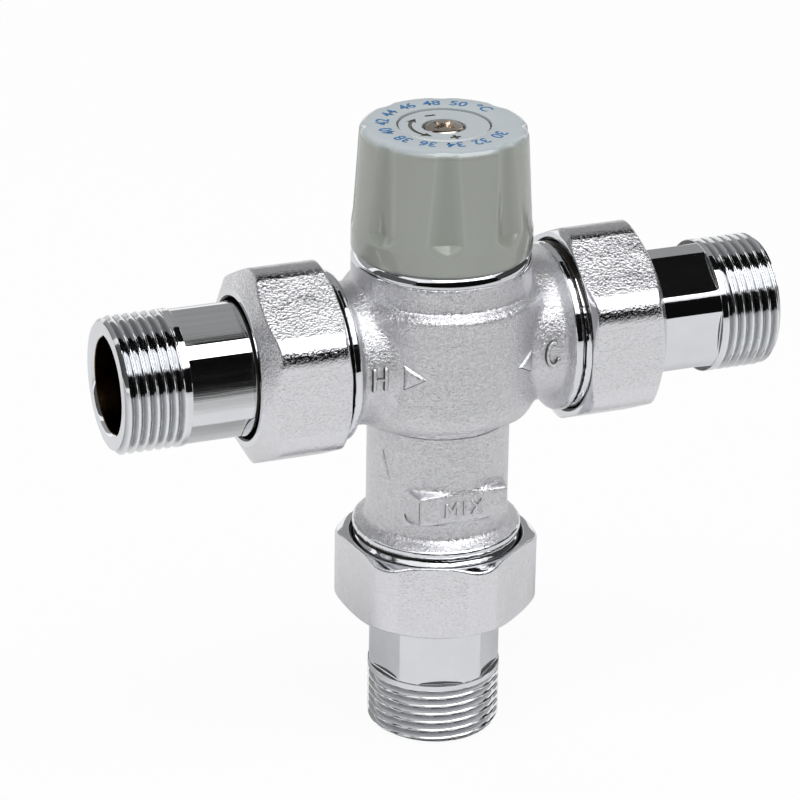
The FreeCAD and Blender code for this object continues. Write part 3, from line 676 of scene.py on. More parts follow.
casting = {"facet": 0.44, "ease": 3, "easeShare": 0.5, "foot": -18.3, "waist": -4.0, "neckR": 14.7,
           "barrelR": 21.0, "rounds": 20, "crownFoot": 9.0, "crownTop": 16.8, "crownX": 12.5,
           "crownRounds": 10, "inletRing": 21.9, "outletRing": 37.8}
union = {"threadR": 16.625, "depth": 1.2, "pitch": 2.309, "face": {"hot": 32.0, "cold": 32.0, "mix": 47.9},
         "len": 8.5, "chamfer": 0.8, "reliefR": 15.625, "reliefLen": 0.25, "runIn": 0.6,
         "columns": 150, "rows": 110, "sharp": 60.0}


def easeVerts(bm, verts, rounds):
    for i in range(rounds):
        bmesh.ops.smooth_vert(bm, verts=verts, factor=casting["easeShare"],
                              use_axis_x=True, use_axis_y=True, use_axis_z=True)


def makeBody():
    # the solid's own mesh, gone over with even small faces and eased like a casting
    c = casting
    bm = bmesh.new()
    bm.from_mesh(nodes["valve_body"].data)
    bmesh.ops.remove_doubles(bm, verts=bm.verts, dist=1e-7)
    piece = newPiece("bodyDressed", bm, [castChrome, turnedChrome], 0)
    even = piece.modifiers.new("even", "REMESH")
    even.mode = "VOXEL"
    even.voxel_size = c["facet"] * mm
    ease = piece.modifiers.new("ease", "SMOOTH")
    ease.factor = c["easeShare"]
    ease.iterations = c["ease"]
    applied(piece)
    bm = bmesh.new()
    bm.from_mesh(piece.data)
    belly, crown = [], []
    for vert in bm.verts:
        x, y, z = vert.co / mm
        z -= valveHeight
        reach = hypot(x, y)
        if c["foot"] < z < c["waist"] and c["neckR"] < reach < c["barrelR"]:
            belly.append(vert)
        if c["crownFoot"] < z < c["crownTop"] and abs(x) > c["crownX"] and reach < c["inletRing"]:
            crown.append(vert)
    easeVerts(bm, belly, c["rounds"])
    easeVerts(bm, crown, c["crownRounds"])
    for face in bm.faces:
        x, y, z = face.calc_center_median() / mm
        if abs(x) > c["inletRing"] or valveHeight - z > c["outletRing"]:
            face.material_index = 1
    bm.to_mesh(piece.data)
    bm.free()
    piece.data.shade_smooth()
    return piece


def makeUnionThread(port):
    # from the relief beside the port's ring out to the face's chamfer
    face = union["face"][port]
    foot = face - union["len"]
    hand = 1 if port == "hot" else -1
    count, rows = union["columns"], union["rows"]
    rings = []
    for i in range(rows + 1):
        u = foot + union["len"] * i / rows
        ring = []
        for j in range(count):
            turn = 2 * pi * j / count
            shape = threadShape(u / union["pitch"] - hand * turn / (2 * pi))
            r = union["threadR"] - union["depth"] * shape
            r = min(r, union["threadR"] - union["chamfer"] + (face - u))
            into = eased((u - foot - union["reliefLen"]) / union["runIn"])
            ring.append(portPoint(port, union["reliefR"] * (1 - into) + r * into, turn, u))
        rings.append(ring)
    # the thread is in the gap shade metal: painted shade inside the nut
    return newPiece(port + "PortThread", skin(rings, False), [gapShadeMetal], union["sharp"])


body = settle(makeBody(), "body", "cast_chrome", "valve_body")
for port in ("hot", "cold", "mix"):
    settle(makeUnionThread(port), "body", "polished_chrome")
print("body dressed:", len(body.data.polygons), "faces")


# raised marks on the casting

marks = {"armR": 14.0, "barrelR": 19.4, "neckR": 14.0, "padFront": 14.25, "high": 0.5, "sunk": 0.3,
         "step": 0.12, "tip": 0.03, "spread": 1.08, "sharp": 75.0,
         "ridge": [(-1, 0), (-0.72, 0.5), (-0.46, 0.92), (-0.2, 1), (0, 1.02),
                   (0.2, 1), (0.46, 0.92), (0.72, 0.5), (1, 0)],
         "parts": 6, "slope": [(1.0, 0.1), (0.86, 0.6), (0.72, 1.0), (0.4, 1.0)]}


def onArm(x, y, h):
    turn = y / marks["armR"]
    r = marks["armR"] + h
    return Vector((x, -r * cos(turn), valveHeight + r * sin(turn))) * mm


def onBarrel(x, y, h):
    turn = asin(x / marks["barrelR"])
    r = marks["barrelR"] + h
    return Vector((r * sin(turn), -r * cos(turn), valveHeight + y)) * mm


def onPad(x, y, h):
    return Vector((x, -marks["padFront"] - h, valveHeight + y)) * mm


def onNeck(x, y, h):
    # x is the way round the neck from the front
    turn = x / marks["neckR"]
    r = marks["neckR"] + h
    return Vector((r * sin(turn), -r * cos(turn), valveHeight + y)) * mm


def addStroke(bm, surface, points, width, high, shadedFacets=2):
    # one cast stroke: a rounded ridge with rounded ends along a line of points, its outer facets in the
    # crease shade chrome as painted shade
    path = [Vector(q) for q in points]
    half = width / 2
    spots = []
    for start, end in zip(path, path[1:]):
        steps = max(1, ceil((end - start).length / marks["step"]))
        spots += [start.lerp(end, k / steps) for k in range(steps)]
    spots.append(path[-1])
    gone = [0.0]
    for start, end in zip(spots, spots[1:]):
        gone.append(gone[-1] + (end - start).length)
    rows = []
    for i, spot in enumerate(spots):
        along = (spots[min(i + 1, len(spots) - 1)] - spots[max(i - 1, 0)]).normalized()
        across = Vector((-along.y, along.x))
        inset = min(gone[i], gone[-1] - gone[i], half) / half
        swell = sqrt(max(marks["tip"], 1 - (1 - inset) ** 2))
        row = []
        for out, up in marks["ridge"]:
            side = spot + across * (out * half * swell)
            row.append(bm.verts.new(surface(side.x, side.y, up * high * swell if up else -marks["sunk"])))
        rows.append(row)
    last = len(marks["ridge"]) - 1
    for low, top in zip(rows, rows[1:]):
        for j in range(last):
            face = bm.faces.new((low[j], low[j + 1], top[j + 1], top[j]))
            # outer facets take the crease shade chrome: painted shade at the stroke's foot
            face.material_index = 1 if min(j, last - 1 - j) < shadedFacets else 0


def addPlate(bm, surface, corners, high, shadedBelow=True):
    # a raised flat mark with sloping edges, the foot of its lower sides in the crease shade chrome as a
    # painted shadow
    middle = sum((Vector(c) for c in corners), Vector((0, 0))) / len(corners)
    parts = marks["parts"]
    rims = []
    levels = [(marks["spread"], -marks["sunk"])] + [(size, share * high) for size, share in marks["slope"]]
    for shrink, h in levels:
        ring = []
        for i, corner in enumerate(corners):
            here, ahead = Vector(corner), Vector(corners[(i + 1) % len(corners)])
            for k in range(parts):
                spot = middle + (here.lerp(ahead, k / parts) - middle) * shrink
                ring.append(bm.verts.new(surface(spot.x, spot.y, h)))
        rims.append(ring)
    for i, (low, top) in enumerate(zip(rims, rims[1:])):
        for j in range(len(low)):
            k = (j + 1) % len(low)
            face = bm.faces.new((low[j], low[k], top[k], top[j]))
            start, end = corners[j // parts], corners[(j // parts + 1) % len(corners)]
            lower = (start[1] + end[1]) / 2 < middle.y + 0.2
            # the foot of the lower sides takes the crease shade chrome: a painted shadow under the plate
            face.material_index = 1 if shadedBelow and i < 2 and lower else 0
    hub = bm.verts.new(surface(middle.x, middle.y, high))
    for j in range(len(rims[-1])):
        bm.faces.new((rims[-1][j], rims[-1][(j + 1) % len(rims[-1])], hub))


hotMark = {"x": -17.65, "y": -0.1, "wide": 2.3, "tall": 5.0, "stroke": 1.25, "bar": 0.8, "barHigh": 0.9}
coldMark = {"x": 18.0, "y": 0.25, "wide": 2.5, "tall": 4.6, "stroke": 1.25, "from": 52, "to": 345, "step": 8}
mixMark = {"left": -3.6, "foot": -31.3, "tall": 3.2, "stroke": 0.75, "high": 0.32,
           "lines": [[(0, 0), (0, 1)], [(0, 1), (1.15, 0.34375), (2.3, 1)], [(2.3, 1), (2.3, 0)],
                     [(3.75, 0), (3.75, 1)], [(5.2, 0), (7.6, 1)], [(5.2, 1), (7.6, 0)]]}
# dark strokes along the pad's lower edges and up its left end: painted shadow lines
padShadowLine = {"wide": 0.55, "high": 0.25, "corner": -9.1, "foot": -32.1, "top": -27.3,
             "fine": 0.3, "fineHigh": 0.03,
             "lines": [[(-11.7, -31.4), (-11.3, -32.3), (-10.4, -32.8), (-4.6, -32.95)],
                       [(5.0, -32.95), (10.6, -32.9)]]}
# where the barrel's foot meets the neck: a low stroke with dark edges, a painted shade line
bellyShadeLine = {"y": -15.05, "half": 21.0, "wide": 0.6, "high": 0.12, "steps": 60}
arrowMark = {"hot": [(-13.0, 2.5), (-9.3, -0.1), (-13.0, -2.7)],
             "cold": [(13.2, 1.9), (9.6, -0.2), (13.2, -2.6)],
             "neck": [(-19.3, -25.3), (-17.2, -19.2), (-15.1, -25.3)], "neckHigh": 0.3}


def makeMarks():
    bm = bmesh.new()
    x, y, w, h, s = (hotMark[k] for k in ("x", "y", "wide", "tall", "stroke"))
    for side in (x - w / 2, x + w / 2):
        addStroke(bm, onArm, [(side, y - h / 2), (side, y + h / 2)], s, marks["high"])
    bar = [(x - w / 2, y), (x + w / 2, y)]
    addStroke(bm, onArm, bar, s * hotMark["bar"], marks["high"] * hotMark["barHigh"])
    x, y, w, h, s = (coldMark[k] for k in ("x", "y", "wide", "tall", "stroke"))
    arc = [radians(a) for a in range(coldMark["from"], coldMark["to"], coldMark["step"])]
    addStroke(bm, onArm, [(x + w / 2 * cos(a), y + h / 2 * sin(a)) for a in arc], s, marks["high"])
    for line in mixMark["lines"]:
        line = [(mixMark["left"] + x, mixMark["foot"] + mixMark["tall"] * share) for x, share in line]
        addStroke(bm, onPad, line, mixMark["stroke"], mixMark["high"], 1)
    addPlate(bm, onBarrel, arrowMark["hot"], marks["high"])
    addPlate(bm, onBarrel, arrowMark["cold"], marks["high"])
    addPlate(bm, onNeck, arrowMark["neck"], arrowMark["neckHigh"], False)
    for line in padShadowLine["lines"]:
        addStroke(bm, onNeck, line, padShadowLine["wide"], padShadowLine["high"], 4)
    half, steps = bellyShadeLine["half"], bellyShadeLine["steps"]
    line = [(half * (2 * k / steps - 1), bellyShadeLine["y"]) for k in range(steps + 1)]
    addStroke(bm, onNeck, line, bellyShadeLine["wide"], bellyShadeLine["high"], 1)
    line = [(padShadowLine["corner"], padShadowLine[end]) for end in ("foot", "top")]
    addStroke(bm, onPad, line, padShadowLine["fine"], padShadowLine["fineHigh"], 1)
    return newPiece("castMarks", bm, [castChrome, creaseShadeChrome], marks["sharp"])


settle(makeMarks(), "body", "cast_chrome")
print("marks cast")


# knob

knob = {"foot": 19.95, "top": 44.6, "footR": 17.54, "topR": 16.15, "band": 4.2, "edgeRound": 1.7,
        "footRound": 0.35, "flutes": 8, "fluteR": 7.6, "fluteDepth": 1.25, "fluteTopDepth": 0.4,
        "fluteTurn": -19.0, "ramp": 2.2, "soft": 0.16, "topRingR": 12.0, "discR": 9.05, "discDepth": 0.4,
        "wellR": 4.2, "boreR": 14.3, "roof": 41.3, "hubR": 6.8, "hubFoot": 35.0, "driveR": 4.05,
        "webFoot": 41.6, "webTop": 42.3, "holeR": 2.25, "dialThick": 0.8, "lip": 0.2,
        "rows": 58, "edgeRows": 8, "columns": 320, "sharp": 32.0}
# in the knob's base colour, flute is painted shade inside the flutes, edgeHighlight a painted highlight along
# their edges with rub its strength, and top a painted sky reflection on the top
knobLook = {"side": (0.345, 0.365, 0.33), "pale": (0.375, 0.395, 0.36), "flute": (0.285, 0.305, 0.27),
            "edgeHighlight": (0.50, 0.53, 0.505), "top": (0.48, 0.53, 0.555), "topFrom": 43.2, "topFull": 44.1,
            "halfFoot": 3.65, "halfTop": 2.2, "reach": 16.9, "fluteShadeShare": 0.75, "rub": 0.15, "edgeHighlightReach": 0.5,
            "roughness": 0.11, "roughSpread": 0.14, "grain": 0.01, "coat": 0.6, "coatRough": 0.05,
            "ior": 1.49, "flowScale": 60.0, "flowDrawn": 0.35, "peelScale": 1900.0, "rubScale": 320.0}


def fluteGap(paint, x, y, rise):
    # mm from the edge of the nearest flute, less than nothing inside it; rise is mm above the flutes' feet
    look = knobLook
    pitch = 2 * pi / knob["flutes"]
    turn = paint.worked("ARCTAN2", x, y * -1.0) - (radians(knob["fluteTurn"]) - 2 * pi)
    swing = paint.worked("FRACT", turn * (1 / pitch) + 0.5) - 0.5
    away = paint.worked("ABSOLUTE", swing) * (pitch * look["reach"])
    fluteLen = knob["top"] - knob["foot"] - knob["band"]
    taper = look["halfFoot"] - rise * ((look["halfFoot"] - look["halfTop"]) / fluteLen)
    scoop = paint.worked("SQRT", paint.worked("MAXIMUM", rise, 0.0) * (1 / knob["ramp"]))
    scoop = scoop * (look["halfFoot"] + look["edgeHighlightReach"]) - look["edgeHighlightReach"]
    return away - paint.worked("MINIMUM", taper, scoop)


def knobPlastic():
    # moulded grey plastic: slight flow marks, fine orange peel; painted shade inside the flutes, a painted
    # highlight along the flute edges, a painted sky reflection making the top paler
    look = knobLook
    paint = finish("knob plastic")
    at = paint.place()
    flow = paint.clouds(paint.drawn(at, 2, look["flowDrawn"], 1.0), look["flowScale"], 3.0, 0.55)
    peel = paint.clouds(at, look["peelScale"], 2.0, 0.5)
    rub = paint.clouds(at, look["rubScale"], 5.0, 0.65)
    x, y, z = (paint.node("SeparateXYZ", None, {"Vector": at}, out=axis) for axis in "XYZ")
    height = z * (1 / mm) - valveHeight
    gap = fluteGap(paint, x, y, height - (knob["foot"] + knob["band"]))
    tint = paint.blend(paint.ramp(flow, [(0.3, 0.0), (0.7, 1.0)]), shade(*look["side"]), shade(*look["pale"]))
    # darker inside the flutes: painted shade
    inside = paint.ramp(gap * 0.25 + 0.75, [(0.25, look["fluteShadeShare"]), (0.74, 0.0)])
    tint = paint.blend(inside, tint, shade(*look["flute"]))
    # lighter along the flute edges: a painted highlight
    edge = paint.ramp(paint.worked("ABSOLUTE", gap), [(0.0, look["rub"]), (look["edgeHighlightReach"], 0.0)])
    tint = paint.blend(edge, tint, shade(*look["edgeHighlight"]))
    # paler towards the top: a painted sky reflection
    topReflectionShare = (height - look["topFrom"]) * (1 / (look["topFull"] - look["topFrom"]))
    tint = paint.blend(paint.ramp(topReflectionShare, [(0.0, 0.0), (1.0, 1.0)]), tint, shade(*look["top"]))
    return paint.surface({
        "Base Color": tint,
        "Roughness": look["roughness"] + (rub - 0.5) * look["roughSpread"],
        "IOR": look["ior"],
        "Coat Weight": look["coat"],
        "Coat Roughness": look["coatRough"],
        "Normal": paint.bump(peel, look["grain"]),
    })


greyPlastic = knobPlastic()


def softLow(a, b, width):
    # the lower of two with their meeting eased
    share = max(0.0, width - abs(a - b)) / width
    return min(a, b) - share * share * width * 0.25


def knobSide(turn, z):
    # the flutes run out towards the top and end below in a sloping floor
    k = knob
    bandTop = k["foot"] + k["band"]
    rise = max(0.0, z - bandTop) / (k["top"] - bandTop)
    plain = k["footR"] + (k["topR"] - k["footR"]) * rise
    if z <= bandTop:
        return plain
    pitch = 2 * pi / k["flutes"]
    swing = (turn - radians(k["fluteTurn"]) + pitch / 2) % pitch - pitch / 2
    deepR = (k["footR"] - k["fluteDepth"]) * (1 - rise) + (k["topR"] - k["fluteTopDepth"]) * rise
    middle = deepR + k["fluteR"]
    reach = k["fluteR"] - k["fluteDepth"] * max(0.0, 1 - (z - bandTop) / k["ramp"])
    if abs(middle * sin(swing)) >= reach:
        return plain
    scoop = middle * cos(swing) - sqrt(reach ** 2 - (middle * sin(swing)) ** 2)
    return softLow(plain, scoop, k["soft"])


def knobLine(turn):
    k = knob
    rows, edgeRows = k["rows"], k["edgeRows"]
    startZ = k["foot"] + k["footRound"]
    endZ = k["top"] - k["edgeRound"]
    line = [(knobSide(turn, k["foot"]) - k["footRound"], k["foot"]),
            (knobSide(turn, k["foot"]) - 0.1, k["foot"] + 0.1)]
    creases = [k["foot"] + k["band"] + d for d in (0.02, k["ramp"] - 0.05, k["ramp"] + 0.05)]
    heights = sorted([startZ + (endZ - startZ) * i / rows for i in range(rows + 1)] + creases)
    line += [(knobSide(turn, z), z) for z in heights]
    edge = knobSide(turn, endZ)
    for i in range(1, edgeRows + 1):
        a = pi / 2 * i / edgeRows
        line.append((edge - k["edgeRound"] * (1 - cos(a)) - 0.1 * sin(a), endZ + k["edgeRound"] * sin(a)))
    seat = k["top"] - k["discDepth"] - k["dialThick"]
    lip = k["lip"]
    line += [(k["topRingR"], k["top"]), (k["discR"] + 1.25 * lip, k["top"]),
             (k["discR"] + 0.3 * lip, k["top"] - 0.3 * lip), (k["discR"], k["top"] - lip), (k["discR"], seat),
             (k["wellR"] + 5 * lip, seat), (k["wellR"], seat - lip), (k["wellR"], k["webTop"]),
             (k["holeR"], k["webTop"]), (k["holeR"], k["webFoot"]), (k["driveR"], k["webFoot"]),
             (k["driveR"], k["hubFoot"]), (k["hubR"], k["hubFoot"]), (k["hubR"], k["roof"]),
             (k["boreR"], k["roof"]), (k["boreR"], k["foot"] + lip), (k["boreR"] + lip, k["foot"])]
    return line


def makeKnob():
    turns = [2 * pi * j / knob["columns"] for j in range(knob["columns"])]
    lines = [knobLine(a) for a in turns]
    rings = []
    for i in range(len(lines[0])):
        rings.append([topPoint(line[i][0], a, line[i][1]) for a, line in zip(turns, lines)])
    return newPiece("knobDressed", skin(rings), [greyPlastic], knob["sharp"])


grip = settle(makeKnob(), "control", "knob_plastic", "adjusting_knob")
print("knob:", len(grip.data.polygons), "faces")


def prism(bm, outline, foot, top):
    # upright block from (x, y) corners about the knob axis, mm
    low = [bm.verts.new(Vector((x, y, valveHeight + foot)) * mm) for x, y in outline]
    high = [bm.verts.new(Vector((x, y, valveHeight + top)) * mm) for x, y in outline]
    bm.faces.new(low[::-1])
    bm.faces.new(high)
    for i in range(len(outline)):
        k = (i + 1) % len(outline)
        bm.faces.new((low[i], low[k], high[k], high[i]))


dial = {"arcR": 6.5, "arcWide": 0.7, "arcFrom": 302.0, "arcTo": 233.0, "arcSteps": 16, "headHalf": 1.0,
        "headTurn": 17.0, "cut": 0.3, "cutStep": 0.002, "signWide": 0.7, "signLong": 2.1,
        "minus": (-0.5, 6.1), "plus": (-0.3, -6.6), "groove": 0.35, "columns": 120, "sharp": 25.0}


def dialSpot(r, angle):
    return (r * sin(radians(angle)), -r * cos(radians(angle)))


def barAt(spot, halfX, halfY):
    x, y = spot
    return [(x - halfX, y - halfY), (x + halfX, y - halfY), (x + halfX, y + halfY), (x - halfX, y + halfY)]


def dialCuts():
    # outlines of the arrow with a head at each end, minus and plus
    d = dial
    start, end, steps = d["arcTo"], d["arcFrom"], d["arcSteps"]
    angles = [start + (end - start) * i / steps for i in range(steps + 1)]
    outer = [dialSpot(d["arcR"] + d["arcWide"] / 2, a) for a in angles]
    inner = [dialSpot(d["arcR"] - d["arcWide"] / 2, a) for a in angles]
    outlines = [outer + inner[::-1]]
    for tip, way in ((end, 1), (start, -1)):
        outlines.append([dialSpot(d["arcR"] + d["headHalf"], tip - way),
                         dialSpot(d["arcR"], tip + way * d["headTurn"]),
                         dialSpot(d["arcR"] - d["headHalf"], tip - way)])
    w, h = d["signWide"] / 2, d["signLong"] / 2
    return outlines + [barAt(d["minus"], h, w), barAt(d["plus"], h, w), barAt(d["plus"], w, h)]


def makeDial():
    k = knob
    top = k["top"] - k["discDepth"]
    foot = top - k["dialThick"]
    count, groove = dial["columns"], dial["groove"]
    line = [(k["wellR"], foot), (k["discR"], foot), (k["discR"], top - groove),
            (k["discR"] - groove, top - groove), (k["discR"] - groove, top),
            (k["wellR"] + 1.25 * k["lip"], top), (k["wellR"], top - k["lip"])]
    rings = [[topPoint(r, 2 * pi * j / count, z) for j in range(count)] for r, z in line]
    plate = newPiece("knobDial", skin(rings), [greyPlastic, grooveShadePlastic], dial["sharp"])
    for i, outline in enumerate(dialCuts()):
        tool = bmesh.new()
        prism(tool, outline, top - dial["cut"] + dial["cutStep"] * i, top + 1)
        cutBy(plate, newPiece("dialTool", tool, [], 0))
    # faces below the dial's face, in the cuts and the edge groove, take the groove shade plastic: painted
    # shade
    for face in plate.data.polygons:
        x, y, z = face.center / mm
        if z < valveHeight + top - 0.04 and hypot(x, y) > k["wellR"] + 0.3:
            face.material_index = 1
    plate.data.shade_smooth()
    plate.data.set_sharp_from_angle(angle=radians(dial["sharp"]))
    return plate


settle(makeDial(), "control", "knob_plastic")

scale = {"first": 30, "last": 50, "each": 2, "unit": "°C", "size": 3.5, "bold": 0.07, "curveSteps": 5,
         "r": 11.65, "from": 40.0, "step": -25.5, "lift": 0.02}


def makeScale():
    # printed numbers round the knob's top, their heads outward
    bm = bmesh.new()
    labels = [str(number) for number in range(scale["first"], scale["last"] + 1, scale["each"])]
    labels.append(scale["unit"])
    for i, text in enumerate(labels):
        curve = bpy.data.curves.new("label", "FONT")
        curve.body = text
        curve.size = scale["size"]
        curve.align_x = "CENTER"
        curve.align_y = "CENTER"
        curve.resolution_u = scale["curveSteps"]
        curve.offset = scale["bold"]
        holder = bpy.data.objects.new("label", curve)
        bpy.context.scene.collection.objects.link(holder)
        bpy.context.view_layer.update()
        flat = bpy.data.meshes.new_from_object(holder.evaluated_get(bpy.context.evaluated_depsgraph_get()))
        start = len(bm.verts)
        bm.from_mesh(flat)
        bm.verts.ensure_lookup_table()
        turn = radians(scale["from"] + scale["step"] * i)
        for vert in bm.verts[start:]:
            r = scale["r"] + vert.co.y
            a = turn - vert.co.x / scale["r"]
            vert.co = topPoint(r, a, knob["top"] + scale["lift"])
        bpy.data.objects.remove(holder)
        bpy.data.curves.remove(curve)
        bpy.data.meshes.remove(flat)
    return newPiece("knobPrint", bm, [bluePrint], 0)


settle(makeScale(), "control", "knob_plastic")
print("dial and print done")


# knob screw

screw = {"headR": 3.8, "foot": 42.3, "high": 2.0, "crown": 1.0, "crownRows": 8, "flatR": 1.2, "shankR": 2.0,
         "len": 10.0, "pitch": 0.7, "threadDepth": 0.4, "tip": 0.3, "plain": 0.5, "rows": 90, "columns": 72,
         "slot": 1.15, "reach": 2.35, "floor": 0.45, "floorSlot": 0.6, "deep": 1.35, "turn": 28.0,
         "edge": 0.15, "over": 0.3, "sharp": 35.0}


def capped(rings):
    # an open skin with its first and last ring closed
    bm = skin(rings, False)
    bm.verts.ensure_lookup_table()
    count = len(rings[0])
    for first in (0, len(bm.verts) - count):
        bm.faces.new([bm.verts[first + j] for j in range(count)])
    return bm


def makeScrew():
    s = screw
    count, rows = s["columns"], s["rows"]
    top = s["foot"] + s["high"]
    tip = s["foot"] - s["len"]
    threadLen = s["len"] - s["tip"] - s["plain"]
    line = [(s["shankR"] - s["tip"], tip)]
    # None stands for the thread's radius
    line += [(None, tip + s["tip"] + threadLen * i / rows) for i in range(rows + 1)]
    line += [(s["shankR"], s["foot"]), (s["headR"] - s["edge"], s["foot"]),
             (s["headR"], s["foot"] + s["edge"])]
    for i in range(s["crownRows"] + 1):
        a = pi / 2 * i / s["crownRows"]
        line.append((s["headR"] - s["crown"] * (1 - cos(a)), top - s["crown"] + s["crown"] * sin(a)))
    line.append((s["flatR"], top))
    rings = []
    for r, z in line:
        ring = []
        for j in range(count):
            turn = 2 * pi * j / count
            reach = r if r else s["shankR"] - s["threadDepth"] * threadShape(z / s["pitch"] - turn / (2 * pi))
            ring.append(topPoint(reach, turn, z))
        rings.append(ring)
    piece = newPiece("screwDressed", capped(rings), [platedSteel], s["sharp"])
    w, wide = s["slot"] / 2, s["reach"]
    levels = [(wide + s["over"], w + s["over"] / 6, top + s["over"]), (wide, w, top),
              (wide * s["floor"], w * s["floorSlot"], top - s["deep"])]
    for arm in range(2):
        turn = radians(s["turn"] + 90 * arm)
        along, across = Vector((cos(turn), sin(turn))), Vector((-sin(turn), cos(turn)))
        rings = []
        for reach, half, z in levels:
            corners = barAt((0, 0), reach, half)
            rings.append([Vector((*(along * a + across * b), valveHeight + z)) * mm for a, b in corners])
        cutBy(piece, newPiece("crossTool", capped(rings), [], 0))
    piece.data.shade_smooth()
    piece.data.set_sharp_from_angle(angle=radians(s["sharp"]))
    return piece


settle(makeScrew(), "control", "plated_steel", "knob_screw")
print("screw cut")


# bonnet, its flange domed and polished where it shows under the knob

bonnet = {"edgeR": 17.53, "foot": 17.72, "dome": 2.8, "sweep": 45.0, "innerR": 16.3, "lap": 0.2, "rows": 16,
          "columns": 180, "sharp": 40.0}


def makeBonnet():
    b = bonnet
    bm = bmesh.new()
    bm.from_mesh(nodes["bonnet"].data)
    for vert in bm.verts:
        reach = hypot(vert.co.x, vert.co.y)
        if reach > b["innerR"] * mm:
            vert.co.x *= b["innerR"] * mm / reach
            vert.co.y *= b["innerR"] * mm / reach
    inner = b["innerR"] - b["lap"]
    line = [(inner, b["foot"])]
    for i in range(b["rows"] + 1):
        a = radians(b["sweep"]) * i / b["rows"]
        line.append((b["edgeR"] - b["dome"] * (1 - cos(a)), b["foot"] + b["dome"] * sin(a)))
    line.append((inner, line[-1][1]))
    count = b["columns"]
    rings = [[topPoint(r, 2 * pi * j / count, z) for j in range(count)] for r, z in line]
    flange = skin(rings)
    for face in flange.faces:
        face.material_index = 1
    part = bpy.data.meshes.new("flange")
    flange.to_mesh(part)
    flange.free()
    bm.from_mesh(part)
    bpy.data.meshes.remove(part)
    return newPiece("bonnetDressed", bm, [turnedBrass, mirrorChrome], b["sharp"])


settle(makeBonnet(), "body", "polished_chrome", "bonnet")
print("bonnet dressed")


# springs: copies of the solids' meshes in spring steel, in place of the CAD springs

springs = [
    {"name": "overtravelSpring", "node": "overtravel_spring", "axis": 2, "fixed": 1,
     "from": "carriage_group", "to": "plunger_group"},
    {"name": "hotCheckSpring", "node": "hot_check_spring", "axis": 0, "fixed": 1,
     "from": "hot_union", "to": "hot_poppet"},
    {"name": "coldCheckSpring", "node": "cold_check_spring", "axis": 0, "fixed": 0,
     "from": "cold_union", "to": "cold_poppet"},
]
returnSpring = {"name": "returnSpring", "node": "return_spring", "body": "body", "joint": "shuttle_stroke",
                "press": 0.9}


def copiedSpring(spring):
    # a copy of the solid's mesh, and the two ends of its box
    bm = bmesh.new()
    bm.from_mesh(nodes[spring["node"]].data)
    spots = [vert.co.copy() for vert in bm.verts]
    ends = [Vector([pick(spot[i] for spot in spots) for i in range(3)]) for pick in (min, max)]
    return newPiece(spring["name"] + "Dressed", bm, [springSteel], 40.0), ends


for spring in springs:
    piece, ends = copiedSpring(spring)
    foot, tip = ends[spring["fixed"]].copy(), ends[spring["fixed"]].copy()
    tip[spring["axis"]] = ends[1 - spring["fixed"]][spring["axis"]]
    tuple(foot)
    tuple(tip)
    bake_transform(piece)
    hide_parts(spring["node"])
piece, ends = copiedSpring(returnSpring)
settle(piece, returnSpring["body"], "spring_steel", returnSpring["node"])
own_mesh(piece)
print("springs:", len(springs) + 1)


# finishes on the CAD pieces that stay

slotFinish = {"cast_chrome": castChrome, "nut_chrome": nutChrome, "polished_chrome": mirrorChrome,
              "knob_plastic": greyPlastic, "plated_steel": platedSteel, "turned_brass": turnedBrass,
              "sensor_copper": sensorCopper, "spring_steel": springSteel, "strainer_steel": strainerSteel,
              "seal_rubber": sealRubber, "fibre_gasket": fibreGasket, "valve_plastic": valvePlastic}
for entry in frame["record"]["subparts"]:
    kept = nodes[entry["node"]]
    kept.data.materials.clear()
    kept.data.materials.append(slotFinish[entry["material_slot"]])
print("CAD nodes finished")


# stage

stage = {"floorSize": 3.0, "floorDrop": 0.0002, "floorScale": 6.0,
         "floor": [(0.3, (0.76, 0.76, 0.76)), (0.7, (0.79, 0.79, 0.79))],
         "cameraWhite": 0.95, "worldLight": 0.46, "aim": (0.0, 0.0, 0.08)}


def flatSheet(halfX, halfY, z):
    bm = bmesh.new()
    bm.faces.new([bm.verts.new((x, y, z)) for x, y in barAt((0, 0), halfX, halfY)])
    return bm


def makeFloor():
    half = stage["floorSize"] / 2
    paint = finish("studio floor")
    path = paint.node("LightPath", out="Is Camera Ray")
    grain = paint.clouds(paint.place(), stage["floorScale"])
    paper = paint.node("BsdfDiffuse", None, {"Color": paint.ramp(grain, stage["floor"])})
    white = paint.node("Emission", None, {"Color": shade(1, 1, 1), "Strength": 1.0})
    mixed = paint.node("MixShader", None, {0: path * stage["cameraWhite"], 1: paper, 2: white})
    paint.node("OutputMaterial", None, {"Surface": mixed})
    floor = newPiece("studioFloor", flatSheet(half, half, -stage["floorDrop"]), [paint.owner], 0)


def makeWorld():
    world = bpy.data.worlds.new("studio")
    bpy.context.scene.world = world
    paint = Finish(world)
    camera, glossy, through = (paint.node("LightPath", out="Is " + ray + " Ray")
                               for ray in ("Camera", "Glossy", "Transmission"))
    seen = paint.worked("MINIMUM", camera + glossy + through, 1.0)
    strength = stage["worldLight"] + seen * (1 - stage["worldLight"])
    back = paint.node("Background", None, {"Color": shade(1, 1, 1), "Strength": strength})
    paint.node("OutputWorld", None, {"Surface": back})


